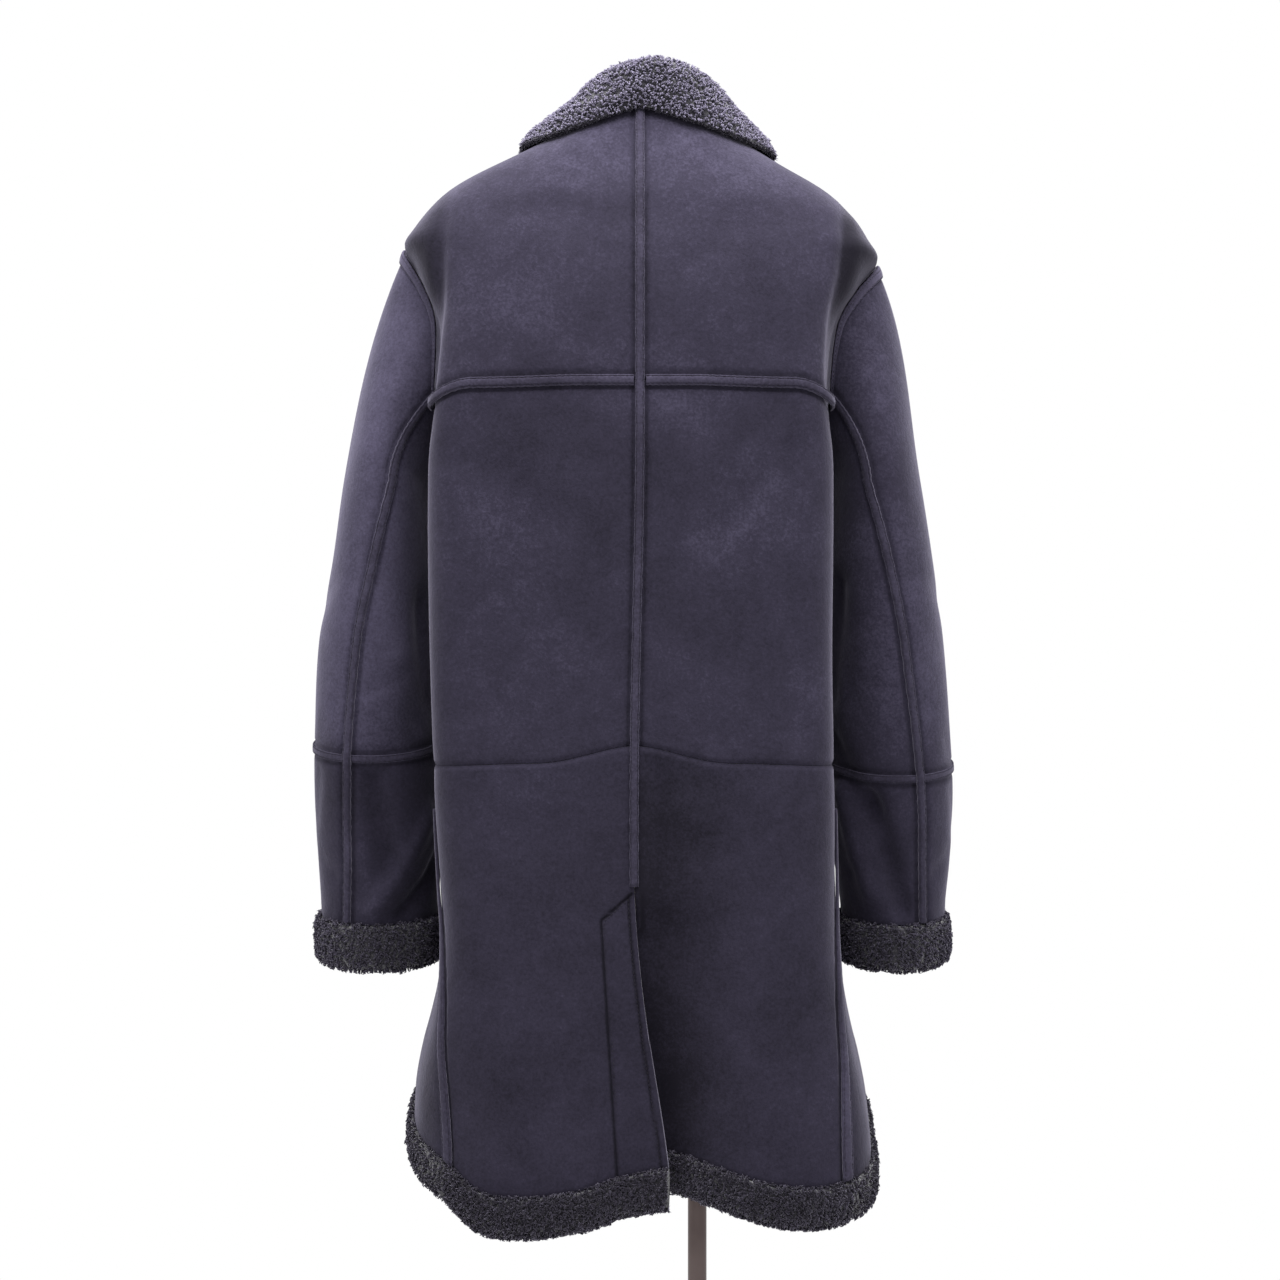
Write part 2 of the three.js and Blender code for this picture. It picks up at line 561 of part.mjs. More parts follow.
// A point of the armhole, at the same degrees round as the sleeve's tube.
function armholePoint(side, angle) {
  const a = rad(angle);
  const centreZ = (ARMHOLE.top + ARMHOLE.bottom) / 2;
  const z = centreZ + (ARMHOLE.top - centreZ) * Math.cos(a) * 0.9995;
  return bodyPoint(side, angleAtDepth(ARMHOLE.centreY - ARMHOLE.halfWidth * Math.sin(a), z), z, 0);
}

// The sleeve head (share 0 to 1): for each angle a cubic from the armhole, leaving outwards and down, to the
// tube at HEAD_Z, which it meets in line.
function headPoint(side, angle, share) {
  const a = rad(angle);
  const start = armholePoint(side, angle);
  const end = tubePoint(side, angle, HEAD_Z);
  const leave = new THREE.Vector3(
    sign[side] * (0.62 - 0.3 * Math.max(Math.cos(a), 0) - 0.2 * Math.max(-Math.cos(a), 0)),
    -0.22 * Math.sin(a),
    -0.72,
  ).normalize();
  const arrive = tubePoint(side, angle, HEAD_Z - 4).sub(tubePoint(side, angle, HEAD_Z + 4)).normalize();
  const length = start.distanceTo(end);
  const t = share;
  return start
    .multiplyScalar(2 * t ** 3 - 3 * t ** 2 + 1)
    .addScaledVector(leave, (t ** 3 - 2 * t ** 2 + t) * length)
    .addScaledVector(end, 3 * t ** 2 - 2 * t ** 3)
    .addScaledVector(arrive, (t ** 3 - t ** 2) * length);
}

// The whole sleeve: run 0 to 1 is the head, 1 to 2 the tube down to the elbow seam, 2 to 3 on to the cuff.
function sleevePoint(side, angle, run) {
  if (run <= 1) return headPoint(side, angle, run);
  const elbow = ELBOW_Z[side] - 10 * Math.sin(rad(angle));
  return tubePoint(side, angle, run <= 2 ? lerp(HEAD_Z, elbow, run - 1) : lerp(elbow, CUFF_Z, run - 2));
}
function offSleeve(side, angle, run, distance) {
  const at = THREE.MathUtils.clamp(run, 0.03, 2.99);
  const normal = normalOf((a, r) => sleevePoint(side, a, r), angle, at, 2, 0.02, sign[side]);
  return sleevePoint(side, angle, run).addScaledVector(normal, distance);
}
// The back seam's angle along the run: across the head it swings from the armhole to the tube's own seam.
function sleeveSeam(side, run) {
  if (run <= 1) return lerp(HEAD_SEAM, seamAngleAt(HEAD_Z), run);
  return seamAngleAt(sleevePoint(side, 80, run).z);
}

const SLEEVE_GAP_ANGLE = 0.22;
const UPPER_RUNS = [0.008, 0.1, 0.25, 0.45, 0.7, 1, 1.14, 1.3, 1.5, 1.75, 1.9994];
const LOWER_RUNS = [2.001, 2.16, 2.34, 2.52, 2.72, 2.999];
const sleeveAngles = {
  top: (side, run) => steps(FRONT_SEAM - 360 + SLEEVE_GAP_ANGLE, sleeveSeam(side, run) - SLEEVE_GAP_ANGLE, 12),
  under: (side, run) => steps(sleeveSeam(side, run) + SLEEVE_GAP_ANGLE, FRONT_SEAM - SLEEVE_GAP_ANGLE, 8),
};
for (const side of ["left", "right"]) {
  for (const [part, runs] of [["upper", UPPER_RUNS], ["lower", LOWER_RUNS]]) {
    for (const [half, angles] of Object.entries(sleeveAngles)) {
      const [outer, inner] = [0, -SKIN].map((distance) =>
        runs.map((run) => angles(side, run).map((angle) => offSleeve(side, angle, run, distance))),
      );
      coat.add(wall(`sleeve_${half}_${part}_${side}`, outer, inner, SUEDE));
    }
  }
}

// Wool cuffs
function cuff(side) {
  const angles = [...sleeveAngles.top(side, 3), ...sleeveAngles.under(side, 3).slice(1, -1)];
  const rings = angles.map((angle) => {
    const foot = sleevePoint(side, angle, 3);
    foot.z -= SEAM_GAP;
    return bandRing(foot, offSleeve(side, angle, 3, 1).sub(offSleeve(side, angle, 3, 0)), CUFF_BAND);
  });
  return tube(`cuff_wool_${side}`, rings, WOOL, true);
}
coat.add(cuff("left"), cuff("right"));

// Collar: a wall that stands up from the neck seam, rolls over and falls to lie on the shoulders. Its wool
// face is the outer one of the roll.
const collar = curves(COLLAR, "station");
function neckPlace(station) {
  if (station <= 1) return [rollAngle(NECK_Z) * station, NECK_Z];
  const z = lerp(NECK_Z, COLLAR_END_Z, station - 1);
  return [rollAngle(z), z];
}
function collarPath(side, station) {
  const [angle, z] = neckPlace(station);
  const [edgeAngle, edgeZ] = [collar.edgeAngle(station), collar.edgeZ(station)];
  const foot = bodyPoint(side, angle, z);
  const normal = bodyNormal(side, angle, z);
  const [before, after] = [neckPlace(Math.max(station - 0.02, 0)), neckPlace(Math.min(station + 0.02, 2))];
  const along = bodyPoint(side, ...after).sub(bodyPoint(side, ...before)).normalize();
  const away = normal.clone().cross(along).multiplyScalar(sign[side]).normalize();
  const turn = smooth(0.85, 1.3, station);
  const level = normal.clone().setZ(0).normalize().negate();
  const inwards = level.lerp(away, turn).normalize();
  const up = new THREE.Vector3(0, 0, 1).lerp(normal, turn).normalize();
  const { rise, inset } = { rise: collar.rise(station), inset: collar.inset(station) };
  const wool = foot.clone().addScaledVector(normal, -COLLAR_THICK).addScaledVector(away, SEAM_GAP + 0.3);
  const at = (inMm, upMm) => wool.clone().addScaledVector(inwards, inMm).addScaledVector(up, upMm);
  const lying = (share, lift) =>
    offBody(side, lerp(angle, edgeAngle, share), lerp(z, edgeZ, share), COLLAR_THICK + lift);
  const edge = lying(1, 1.4);
  const fall = at(inset - 21, rise - 6);
  const hanging = (share) => fall.clone().lerp(edge, share).addScaledVector(inwards, -2).addScaledVector(up, 1.5);
  const stops = [
    wool,
    at(inset * 0.6, rise * 0.3),
    at(inset, rise * 0.72),
    at(inset - 9, rise),
    fall,
    hanging(0.35).lerp(lying(0.45, 4), turn),
    hanging(0.7).lerp(lying(0.74, 2.5), turn),
    edge,
  ];
  const path = new THREE.CatmullRomCurve3(stops, false, "centripetal").getPoints(10);
  const shift = COLLAR_SHIFT + body.sway(z) * Math.max(Math.cos(rad(angle)), 0) ** 6;
  for (const p of path) p.x += shift * smooth(2, 34, p.z - foot.z + COLLAR_THICK);
  return { path, seam: foot.addScaledVector(away, SEAM_GAP + 0.3) };
}
function collarSolid() {
  const gap = halfGap(NECK_Z);
  const backs = backColumns(NECK_Z, 0, backEdge(NECK_Z)).map((angle, i) => (i ? angle : gap) / rollAngle(NECK_Z));
  const fronts = [NECK_Z, 1404, 1390, 1376, 1363, COLLAR_END_Z].map((z) => 1 + (NECK_Z - z) / (NECK_Z - COLLAR_END_Z));
  const stations = [...backs, ...fronts];
  const rows = [
    ...stations.slice(1).reverse().map((station) => collarPath("left", station)),
    collarPath("right", 0),
    ...stations.slice(1).map((station) => collarPath("right", station)),
  ];
  const outer = rows.map(({ path }) => path);
  const inner = outer.map((row, i) =>
    row.map((p, j) => {
      if (j === 0) return rows[i].seam;
      const before = outer[Math.max(i - 1, 0)][j];
      const after = outer[Math.min(i + 1, outer.length - 1)][j];
      const up = row[Math.min(j + 1, row.length - 1)].clone().sub(row[Math.max(j - 1, 0)]);
      const normal = after.clone().sub(before).cross(up).normalize();
      return p.clone().addScaledVector(normal, COLLAR_THICK);
    }),
  );
  return wall("collar", outer, inner, WOOL);
}
coat.add(collarSolid());

// Lapels: the wool side of each front, turned back along the roll line and lying on the front.
const lapelWidth = curve(LAPEL, "z", "width");
function lapel(side) {
  const rows = [1236, 1252, 1270, 1286, 1300, 1310, 1315.5, 1331, 1337];
  const grids = [LAPEL_THICK, 0].map((distance) =>
    rows.map((z) =>
      steps(0.02, 1, 5).map((share) => {
        const spread = deg(lapelWidth(z) / Math.hypot(body.front(z), 40));
        return offBody(side, rollAngle(z) - spread * share, z, distance + lerp(0.6, 1.6, share));
      }),
    ),
  );
  return wall(`lapel_${side}`, grids[0], grids[1], WOOL);
}
coat.add(lapel("left"), lapel("right"));

// Lapped strips over the seams: a low band that follows a line on the body or the sleeve.
const STRIP_SECTION = [
  { across: -0.5, out: 0.3 },
  { across: -0.36, out: 1 },
  { across: 0.36, out: 1 },
  { across: 0.5, out: 0.3 },
  { across: 0.5, out: 0 },
  { across: 0, out: 0 },
  { across: -0.5, out: 0 },
];
// place(along, across, out) gives the point that many mm across the line and out from the face.
function strip(name, alongs, place) {
  const rings = alongs.map((along) =>
    STRIP_SECTION.map(({ across, out }) => place(along, across * STRIP_WIDTH, SEAM_GAP + 0.1 + out * STRIP_THICK)),
  );
  return tube(name, rings, SUEDE);
}
const across = (mm, reach) => deg(mm / reach);
// Round the elbow seam, mm upwards: the strip is one closed loop, and the two of the back seam stop short of it.
function elbowRun(side, angle, mm) {
  const elbow = sleevePoint(side, angle, 2).z;
  return 2 - mm / (mm > 0 ? HEAD_Z - elbow : elbow - CUFF_Z);
}
function elbowStrip(side) {
  const angles = [...sleeveAngles.top(side, 2), ...sleeveAngles.under(side, 2).slice(1, -1)];
  const { width, thick } = ELBOW_STRIP;
  const rings = angles.map((angle) =>
    [[-0.5, 0.3], [-0.25, 1], [0.25, 1], [0.5, 0.3], [0, 0]].map(([share, out]) =>
      offSleeve(side, angle, elbowRun(side, angle, share * width), SEAM_GAP + 0.5 + out * thick),
    ),
  );
  return tube(`strip_elbow_${side}`, rings, SUEDE, true);
}
// Along the sleeve's back seam. The strip lifts a little where that seam swings round the tube.
function alongSleeve(side) {
  return (run, mm, out) => {
    const angle = sleeveSeam(side, run);
    const perDegree = sleevePoint(side, angle + 1, run).distanceTo(sleevePoint(side, angle - 1, run)) / 2;
    return offSleeve(side, angle + mm / perDegree, run, out + 0.6 * bump(run, 1.2, 0.3));
  };
}
const centreRows = [...places(skirt("left")), ...places(middle), ...places(yoke)].map((row) => row[0][1]);
coat.add(
  strip("strip_centre_back", centreRows.filter((z) => z > VENT_Z + 3), (z, mm, out) =>
    offBody(mm < 0 ? "left" : "right", across(Math.abs(mm), body.back(z)), Math.min(z, NECK_Z - 1), out),
  ),
);
for (const side of ["left", "right"]) {
  const seamRow = places(yoke)[0].map(([angle]) => angle);
  coat.add(
    strip(`strip_yoke_${side}`, [2.5, ...seamRow.slice(1, -1)], (angle, mm, out) =>
      offBody(side, angle, yokeSeam(angle) + mm, out),
    ),
    strip(`strip_side_${side}`, [HEM_Z + 2, ...front.heights.slice(1, 12)], (z, mm, out) =>
      offBody(side, body.sideSeam(z) + across(mm, 190), z, out + 0.3),
    ),
    strip(
      `strip_armhole_${side}`,
      sleeveAngles.top(side, 0.06).slice(1, -1),
      (angle, mm, out) => offSleeve(side, angle, 0.035 + (mm + STRIP_WIDTH / 2) / 150, out + 0.4),
    ),
    strip(`strip_sleeve_upper_${side}`, [0.16, ...UPPER_RUNS.slice(2, -1), elbowRun(side, 72, 4.1)], alongSleeve(side)),
    strip(`strip_sleeve_lower_${side}`, [elbowRun(side, 72, -4.1), ...LOWER_RUNS.slice(1, -1), 2.98], alongSleeve(side)),
    elbowStrip(side),
  );
}

// Buttons on the left front, over the centre front line.
function button(index) {
  const { radius, thick, rows } = BUTTON;
  const outline = [
    [0, 0],
    [radius - 0.8, 0],
    [radius, 1],
    [radius, thick - 1],
    [radius - 1.5, thick],
    [radius - 3.5, thick - 1.2],
    [0, thick - 1.2],
  ].map(([x, y]) => new THREE.Vector2(x, y));
  const mesh = new THREE.Mesh(
    new THREE.LatheGeometry(outline, 12),
    new THREE.MeshStandardMaterial({ color: 0x2b2320, roughness: 0.35, metalness: 0 }),
  );
  mesh.name = `button_${index + 1}`;
  const normal = bodyNormal("left", 180, rows[index]);
  mesh.quaternion.setFromUnitVectors(new THREE.Vector3(0, 1, 0), normal);
  mesh.position.copy(offBody("left", 180, rows[index], 0.7));
  return mesh;
}
BUTTON.rows.forEach((_, index) => coat.add(button(index)));

// The dress form: a closed torso that carries the coat on its shoulders, and a neck.
const FORM_LOOK = { color: 0xd9d2c4, roughness: 0.8, metalness: 0 };
const METAL_LOOK = { color: 0x5a5250, roughness: 0.35, metalness: 1 };
const figure = curves(FORM, "z");
const FIGURE_SQUARE = 2.3;
function formPoint(side, angle, z) {
  const a = rad(angle);
  const depth = Math.cos(a) > 0 ? figure.back(z) : figure.front(z);
  const n = FIGURE_SQUARE;
  const reach = (Math.abs(Math.cos(a) / depth) ** n + Math.abs(Math.sin(a) / figure.halfWidth(z)) ** n) ** (-1 / n);
  const plain = new THREE.Vector3(sign[side] * reach * Math.sin(a) + body.sway(z), -reach * Math.cos(a), z);
  const under = offBody(side, angle, Math.min(z, NECK_Z - 2), -SKIN - FORM_GAP);
  return plain.lerp(under, smooth(1300, 1346, z));
}
function dressForm() {
  const levels = [...FORM.slice(0, -1).map((row) => row.z), 1331, 1346, 1363, 1376, 1390, 1402, 1410];
  const ring = (z) => [
    ...steps(0, 162, 9).map((angle) => formPoint("right", angle, z)),
    ...steps(180, 18, 9).map((angle) => formPoint("left", angle, z)),
  ];
  const neckRing = (z, grow, slope = 0) =>
    steps(0, 342, 19).map((angle) => {
      const a = rad(angle);
      const r = NECK.radius + grow;
      const rise = slope * Math.max(Math.cos(a), 0) ** 2;
      return new THREE.Vector3(NECK.centreX + r * Math.sin(a), NECK.centreY - r * Math.cos(a), z + rise);
    });
  const rings = [
    ...levels.map(ring),
    neckRing(NECK.flareZ, 5, 14),
    neckRing(NECK.flareZ + 9, 1, 8),
    neckRing(NECK.top - 3, 0),
    neckRing(NECK.top, -3),
  ];
  return tube("dress_form", rings, FORM_LOOK);
}
coat.add(dressForm());

// The stand: turned pieces, each outline in radius and height
function turned(name, outline, x, y, segments, look) {
  const mesh = new THREE.Mesh(
    new THREE.LatheGeometry(outline.map(([r, z]) => new THREE.Vector2(r, z)), segments).rotateX(Math.PI / 2),
    new THREE.MeshStandardMaterial(look),
  );
  mesh.name = name;
  mesh.position.set(x, y, 0);
  return mesh;
}
const flangeTop = FORM[0].z - SEAM_GAP;
const flangeFoot = flangeTop - 6;
const socketTop = BASE.thick + BASE.socketHeight;
coat.add(
  turned(
    "neck_cap",
    [
      [0, NECK.top + SEAM_GAP],
      [NECK.radius - 6, NECK.top + SEAM_GAP],
      [NECK.radius - 4, NECK.top + 3],
      [NECK.radius - 6, NECK.top + 6],
      [0, NECK.top + 8],
    ],
    NECK.centreX,
    NECK.centreY,
    24,
    { color: 0xa98457, roughness: 0.5, metalness: 0 },
  ),
  turned("form_flange", [[0, flangeFoot], [31, flangeFoot], [32, flangeFoot + 1], [32, flangeTop], [0, flangeTop]],
    POLE.x, POLE.y, 24, METAL_LOOK),
  turned(
    "pole",
    [
      [0, socketTop + SEAM_GAP],
      [POLE.radius, socketTop + SEAM_GAP],
      [POLE.radius, flangeFoot - SEAM_GAP],
      [0, flangeFoot - SEAM_GAP],
    ],
    POLE.x,
    POLE.y,
    20,
    METAL_LOOK,
  ),
  turned(
    "base_plate",
    [
      [0, 0],
      [BASE.radius - 1, 0],
      [BASE.radius, 1],
      [BASE.radius, BASE.thick - 2],
      [BASE.radius - 2, BASE.thick],
      [BASE.socketRadius + 2, BASE.thick],
      [BASE.socketRadius, BASE.thick + 2],
      [BASE.socketRadius, socketTop - 1],
      [BASE.socketRadius - 1, socketTop],
      [0, socketTop],
    ],
    POLE.x,
    POLE.y,
    32,
    METAL_LOOK,
  ),
);

export default coat;
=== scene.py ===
"""A thigh-length shearling coat, wool turned out at collar, cuffs and hem, on a limbless dress form and stand."""

import bpy
import numpy as np
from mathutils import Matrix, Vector


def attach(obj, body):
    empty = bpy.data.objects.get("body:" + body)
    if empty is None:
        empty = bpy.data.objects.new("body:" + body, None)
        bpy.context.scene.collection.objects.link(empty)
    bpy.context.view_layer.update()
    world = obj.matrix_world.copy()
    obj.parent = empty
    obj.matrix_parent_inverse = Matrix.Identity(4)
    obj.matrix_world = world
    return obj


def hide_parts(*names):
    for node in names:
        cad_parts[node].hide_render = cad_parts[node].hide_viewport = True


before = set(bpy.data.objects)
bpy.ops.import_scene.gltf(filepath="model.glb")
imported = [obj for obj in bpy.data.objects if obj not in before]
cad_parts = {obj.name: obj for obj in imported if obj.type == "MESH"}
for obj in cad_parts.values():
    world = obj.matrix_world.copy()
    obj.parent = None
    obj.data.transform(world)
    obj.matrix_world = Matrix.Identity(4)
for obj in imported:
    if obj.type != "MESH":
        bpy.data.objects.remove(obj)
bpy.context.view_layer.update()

# The sizes the solids were made with, in mm
SKIN = 8
SEAM_GAP = 0.3
HEM_Z = 500
HEM_BAND = 35
CUFF_BAND = 43
WAIST_Z = (870, 852)
YOKE_Z = (1181, 1167)
VENT_Z = 748
VENT_MEET = 706
NECK_Z = 1416
NECK_RISE = 12
ARMHOLE_TOP, ARMHOLE_BOTTOM, ARMHOLE_Y, ARMHOLE_HALF = 1316, 1120, 5, 60
HEAD_Z = 1100
CUFF_Z = 708
ELBOW_Z = {"left": 864, "right": 846}
STRIP_WIDTH = 9
STRIP_THICK = 2.5
BREAK_Z = 1195
OVERLAP = 16
UNDERLAP_IN = 9.5
UNDERLAP_HEM_IN = 22
COLLAR_THICK = 7.5
COLLAR_SHIFT = 2
LAPEL_THICK = 9
COLLAR_END_Z = 1346
SIGN = {"left": -1.0, "right": 1.0}


def smooth(low, high, x):
    """0 before low, 1 after high, and between them 3t^2 - 2t^3."""
    t = np.clip((x - low) / (high - low), 0, 1)
    return t * t * (3 - 2 * t)


def bump(x, middle, reach):
    """A soft hump of height 1: exp(-((x - middle) / reach)^2)."""
    return np.exp(-(((x - middle) / reach) ** 2))


def lerp(a, b, t):
    return a + (b - a) * t


def hermite(start, leaving, end, arriving, t):
    """The cubic from start to end as t goes from 0 to 1, with its slopes at both."""
    first = (2 * t**3 - 3 * t**2 + 1) * start + (t**3 - 2 * t**2 + t) * leaving
    return first + (3 * t**2 - 2 * t**3) * end + (t**3 - t**2) * arriving


def curve(xs, ys):
    """A cubic Hermite curve through (xs, ys), each slope taken from a row's two neighbours."""
    xs, ys = np.array(xs, float), np.array(ys, float)
    before = np.maximum(np.arange(len(xs)) - 1, 0)
    after = np.minimum(np.arange(len(xs)) + 1, len(xs) - 1)
    slopes = (ys[after] - ys[before]) / (xs[after] - xs[before])

    def at(x):
        x = np.clip(x, xs[0], xs[-1])
        i = np.clip(np.searchsorted(xs, x) - 1, 0, len(xs) - 2)
        h = xs[i + 1] - xs[i]
        t = (x - xs[i]) / h
        return hermite(ys[i], h * slopes[i], ys[i + 1], h * slopes[i + 1], t)

    return at


def curves(names, rows):
    """One curve for each named column of a table, over its first column."""
    columns = np.array(rows, float).T
    return {name: curve(columns[0], column) for name, column in zip(names.split()[1:], columns[1:])}


# The body's outer face, level by level: half width, depths and squareness of its back and front halves, the
# shift of its middle, and the side seam's angle from the centre back.
BODY = curves(
    "z half_width back back_square front front_square sway side_seam",
    [
        (450, 206, 150, 4.8, 150, 2.6, 1, 54),
        (500, 203, 148, 4.8, 149, 2.6, 1, 54),
        (530, 201, 147, 4.9, 148, 2.6, 1, 54),
        (570, 194.5, 145, 5, 146, 2.6, 1, 55),
        (600, 188, 144, 5.2, 145, 2.7, 1, 56),
        (650, 179, 142, 5.6, 143, 2.7, 1, 57),
        (700, 173.5, 139, 6, 140, 2.7, 0, 60),
        (748, 173, 137, 6.5, 137, 2.8, -2, 63),
        (802, 174, 135, 7, 133, 2.9, -4, 67),
        (870, 175, 133, 7.5, 130, 3, -6, 71),
        (960, 176, 131, 8, 129, 3, -8, 77),
        (1120, 177, 131, 8, 128, 3, -8, 91.6),
        (1181, 175, 131, 7.5, 122, 3, -7, 91.6),
        (1243, 178, 129, 6, 113, 2.9, -3, 91.5),
        (1279, 193, 125, 5, 105, 2.8, -1, 91.4),
        (1301, 206, 121, 4.4, 99, 2.7, 0, 91.3),
        (1316, 214, 117, 4.1, 95, 2.6, 1, 91.2),
        (1331, 207, 113, 3.8, 90, 2.5, 1, 91),
        (1346, 196.5, 109, 3.5, 84, 2.4, 2, 90.6),
        (1363, 180, 102, 3.1, 76, 2.3, 3, 90.3),
        (1376, 163, 96, 2.8, 68, 2.2, 4, 90),
        (1390, 137, 89, 2.4, 58, 2.2, 5, 90),
        (1404, 106, 80.5, 2.1, 43, 2.2, 7, 90),
        (1416, 76, 72, 2, 29, 2.1, 9, 90),
    ],
)
HEM_LIFT = {
    "left": curve(
        (-14, 4, 15, 28, 41, 47, 54, 60, 67, 75, 85, 96, 120, 200),
        (13, 4, -5, -10.5, -12, -6, 12, 20, 28, 36, 45, 50, 48, 44),
    ),
    "right": curve(
        (-10, 13, 24, 35, 42, 48, 56, 62, 68, 75, 84, 96, 120, 200),
        (24, 20, 13, 2, -3, -4, 0, 4, 9, 17, 30, 43, 47, 44),
    ),
}
SHOULDER_LEVELS = (1190, 1250, 1316, 1331, 1346, 1363, 1376, 1390, 1404, 1416)
SHOULDER_DROP = {
    "left": curve(SHOULDER_LEVELS, (0, 0, 5, 7, 7, 6, 6, 5, 3, 1)),
    "right": curve(SHOULDER_LEVELS, (0, 5, 18, 19, 18, 17, 16, 14, 10, 4)),
}
roll_angle = curve(
    (1195, 1215, 1251, 1305, 1346, 1376, 1390, 1404, 1416), (196, 182, 166, 153, 143, 132, 122, 110, 98)
)
# Each sleeve's outer and inner edge from the coat's middle, and its middle and half depth front to back.
SLEEVE_NAMES = "z outer inner centre_y half_depth"
SLEEVE = {
    "left": curves(
        SLEEVE_NAMES,
        [
            (650, 293, 185, 40, 56),
            (708, 294, 186, 35, 57),
            (760, 296, 184, 28, 58),
            (811, 298, 184, 21, 60),
            (870, 297.5, 187, 15, 63),
            (957, 292, 189, 10, 68),
            (1033, 279, 191, 7, 72),
            (1100, 269, 193, 6, 75),
            (1125, 264, 194, 5, 76),
        ],
    ),
    "right": curves(
        SLEEVE_NAMES,
        [
            (650, 280, 185, 40, 56),
            (708, 281, 186, 35, 57),
            (760, 285, 179, 28, 58),
            (811, 287, 175.5, 21, 60),
            (870, 284, 173, 15, 63),
            (957, 276, 171.5, 10, 68),
            (1033, 266, 172, 7, 72),
            (1100, 255, 173, 6, 75),
            (1125, 250, 173, 5, 76),
        ],
    ),
}
seam_angle_at = curve((650, 708, 760, 811, 870, 929, 972, 1010, 1058, 1100), (62, 64, 67, 69, 72, 77, 81, 87, 97, 109))
HEAD_SEAM = 114
FRONT_SEAM = 235
# Soft folds of the sleeves: side, angle and height of one end, then of the other, depth and half width.
SLEEVE_FOLDS = [
    ("left", 96, 838, 104, 762, 5, 15),
    ("left", 150, 795, 92, 722, -2.5, 10),
    ("left", 160, 752, 118, 716, 3, 9),
    ("left", 150, 985, 140, 890, 3, 14),
    ("right", 162, 868, 118, 812, 4, 12),
    ("right", 118, 815, 86, 722, 5.5, 11),
    ("right", 150, 820, 122, 740, -2.5, 12),
    ("right", 150, 1010, 135, 910, 3, 14),
]
COLLAR = curves(
    "station rise inset edge_angle edge_z",
    [
        (0, 47, 2, 0, 1410),
        (0.36, 42, 6, 36, 1401),
        (0.6, 34, 11, 58, 1397),
        (0.8, 30, 15, 77, 1400),
        (1, 26, 16, 93, 1401),
        (1.25, 25, 12, 102, 1390),
        (1.6, 26, 9, 114, 1370),
        (2, 26, 8, 127, 1342),
    ],
)
lapel_width = curve((1236, 1262, 1300, 1325, 1337), (16, 36, 52, 60, 50))
FORM = curves(
    "z half_width back front",
    [
        (722, 118, 84, 80),
        (732, 140, 98, 92),
        (760, 150, 106, 98),
        (820, 154, 110, 102),
        (900, 147, 103, 100),
        (970, 138, 96, 98),
        (1050, 147, 100, 104),
        (1130, 157, 107, 108),
        (1210, 160, 110, 98),
        (1270, 168, 108, 88),
        (1310, 182, 102, 78),
        (1416, 66, 60, 18),
    ],
)
FORM_GAP = 0.9
NECK_RADIUS, NECK_X, NECK_Y, NECK_TOP, NECK_FLARE = 45, 9, -12, 1452, 1406
POLE_X = 52

# The coat's surfaces


def flap_angle(z):
    return -12.8 * smooth(VENT_Z + 20, HEM_Z - 90, z)


def vent_angle(side, z):
    """The angle of a skirt's vent edge: the left one leans over, the right one runs on underneath."""
    if side == "left":
        return flap_angle(z)
    return lerp(-flap_angle(z), -9, smooth(VENT_MEET, VENT_MEET - 20, z))


def set_in(side, angle, z):
    """How far the lower layer of the vent and of the front's lap lies in, in mm."""
    if side == "left":
        return 0 * angle
    deep = lerp(UNDERLAP_HEM_IN, UNDERLAP_IN, smooth(510, 680, z))
    return deep * smooth(32, 13, angle) * smooth(VENT_Z, VENT_MEET + 4, z) + deep * smooth(145, 162, angle)


def squareness(side, at_back, z):
    soften = 1.5 * smooth(680, 500, z) if side == "left" else 0
    return np.where(at_back, BODY["back_square"](z) - soften, BODY["front_square"](z))


def body_point(side, angle, z, under=None):
    """A superellipse in plan at each level, |cos/depth|^n + |sin/width|^n = r^-n, lifted at the hem and neck,
    lowered at the shoulder, pushed in below the vent and shifted with the centre back seam."""
    angle, z = np.broadcast_arrays(np.asarray(angle, float), np.asarray(z, float))
    a = np.radians(angle)
    at_back = np.cos(a) > 0
    n = squareness(side, at_back, z)
    depth = np.where(at_back, BODY["back"](z), BODY["front"](z))
    reach = (np.abs(np.cos(a) / depth) ** n + np.abs(np.sin(a) / BODY["half_width"](z)) ** n) ** (-1 / n)
    reach = reach - (set_in(side, angle, z) if under is None else under)
    back = np.maximum(np.cos(a), 0)
    sway = BODY["sway"](z)
    hollow = 14 * bump(angle, 0, 24) * smooth(VENT_Z, HEM_Z, z) * back
    valley = 8 * bump(angle, 18, 11) * smooth(VENT_Z + 60, 560, z) if side == "right" else 0
    seam_shift = (-5 * smooth(1150, 820, z) - sway) * back**6
    lift = HEM_LIFT[side](angle) * smooth(760, HEM_Z, z) + NECK_RISE * back**2 * smooth(1372, NECK_Z, z)
    drop = SHOULDER_DROP[side](z) * bump(angle, 90, 40)
    x = SIGN[side] * reach * np.sin(a) + sway + seam_shift
    return np.stack([x, -reach * np.cos(a) + hollow + valley, z + lift - drop], -1)


def unit(v):
    return v / np.maximum(np.linalg.norm(v, axis=-1, keepdims=True), 1e-9)


def body_normal(side, angle, z):
    """The outward normal: the cross product of short steps round and up."""
    z = np.minimum(z, NECK_Z - 1)
    along = body_point(side, angle + 1, z) - body_point(side, angle - 1, z)
    up = body_point(side, angle, z + 1) - body_point(side, angle, z - 1)
    return unit(np.cross(along, up)) * SIGN[side]


def off_body(side, angle, z, out):
    return body_point(side, angle, z) + body_normal(side, angle, z) * np.asarray(out, float)[..., None]


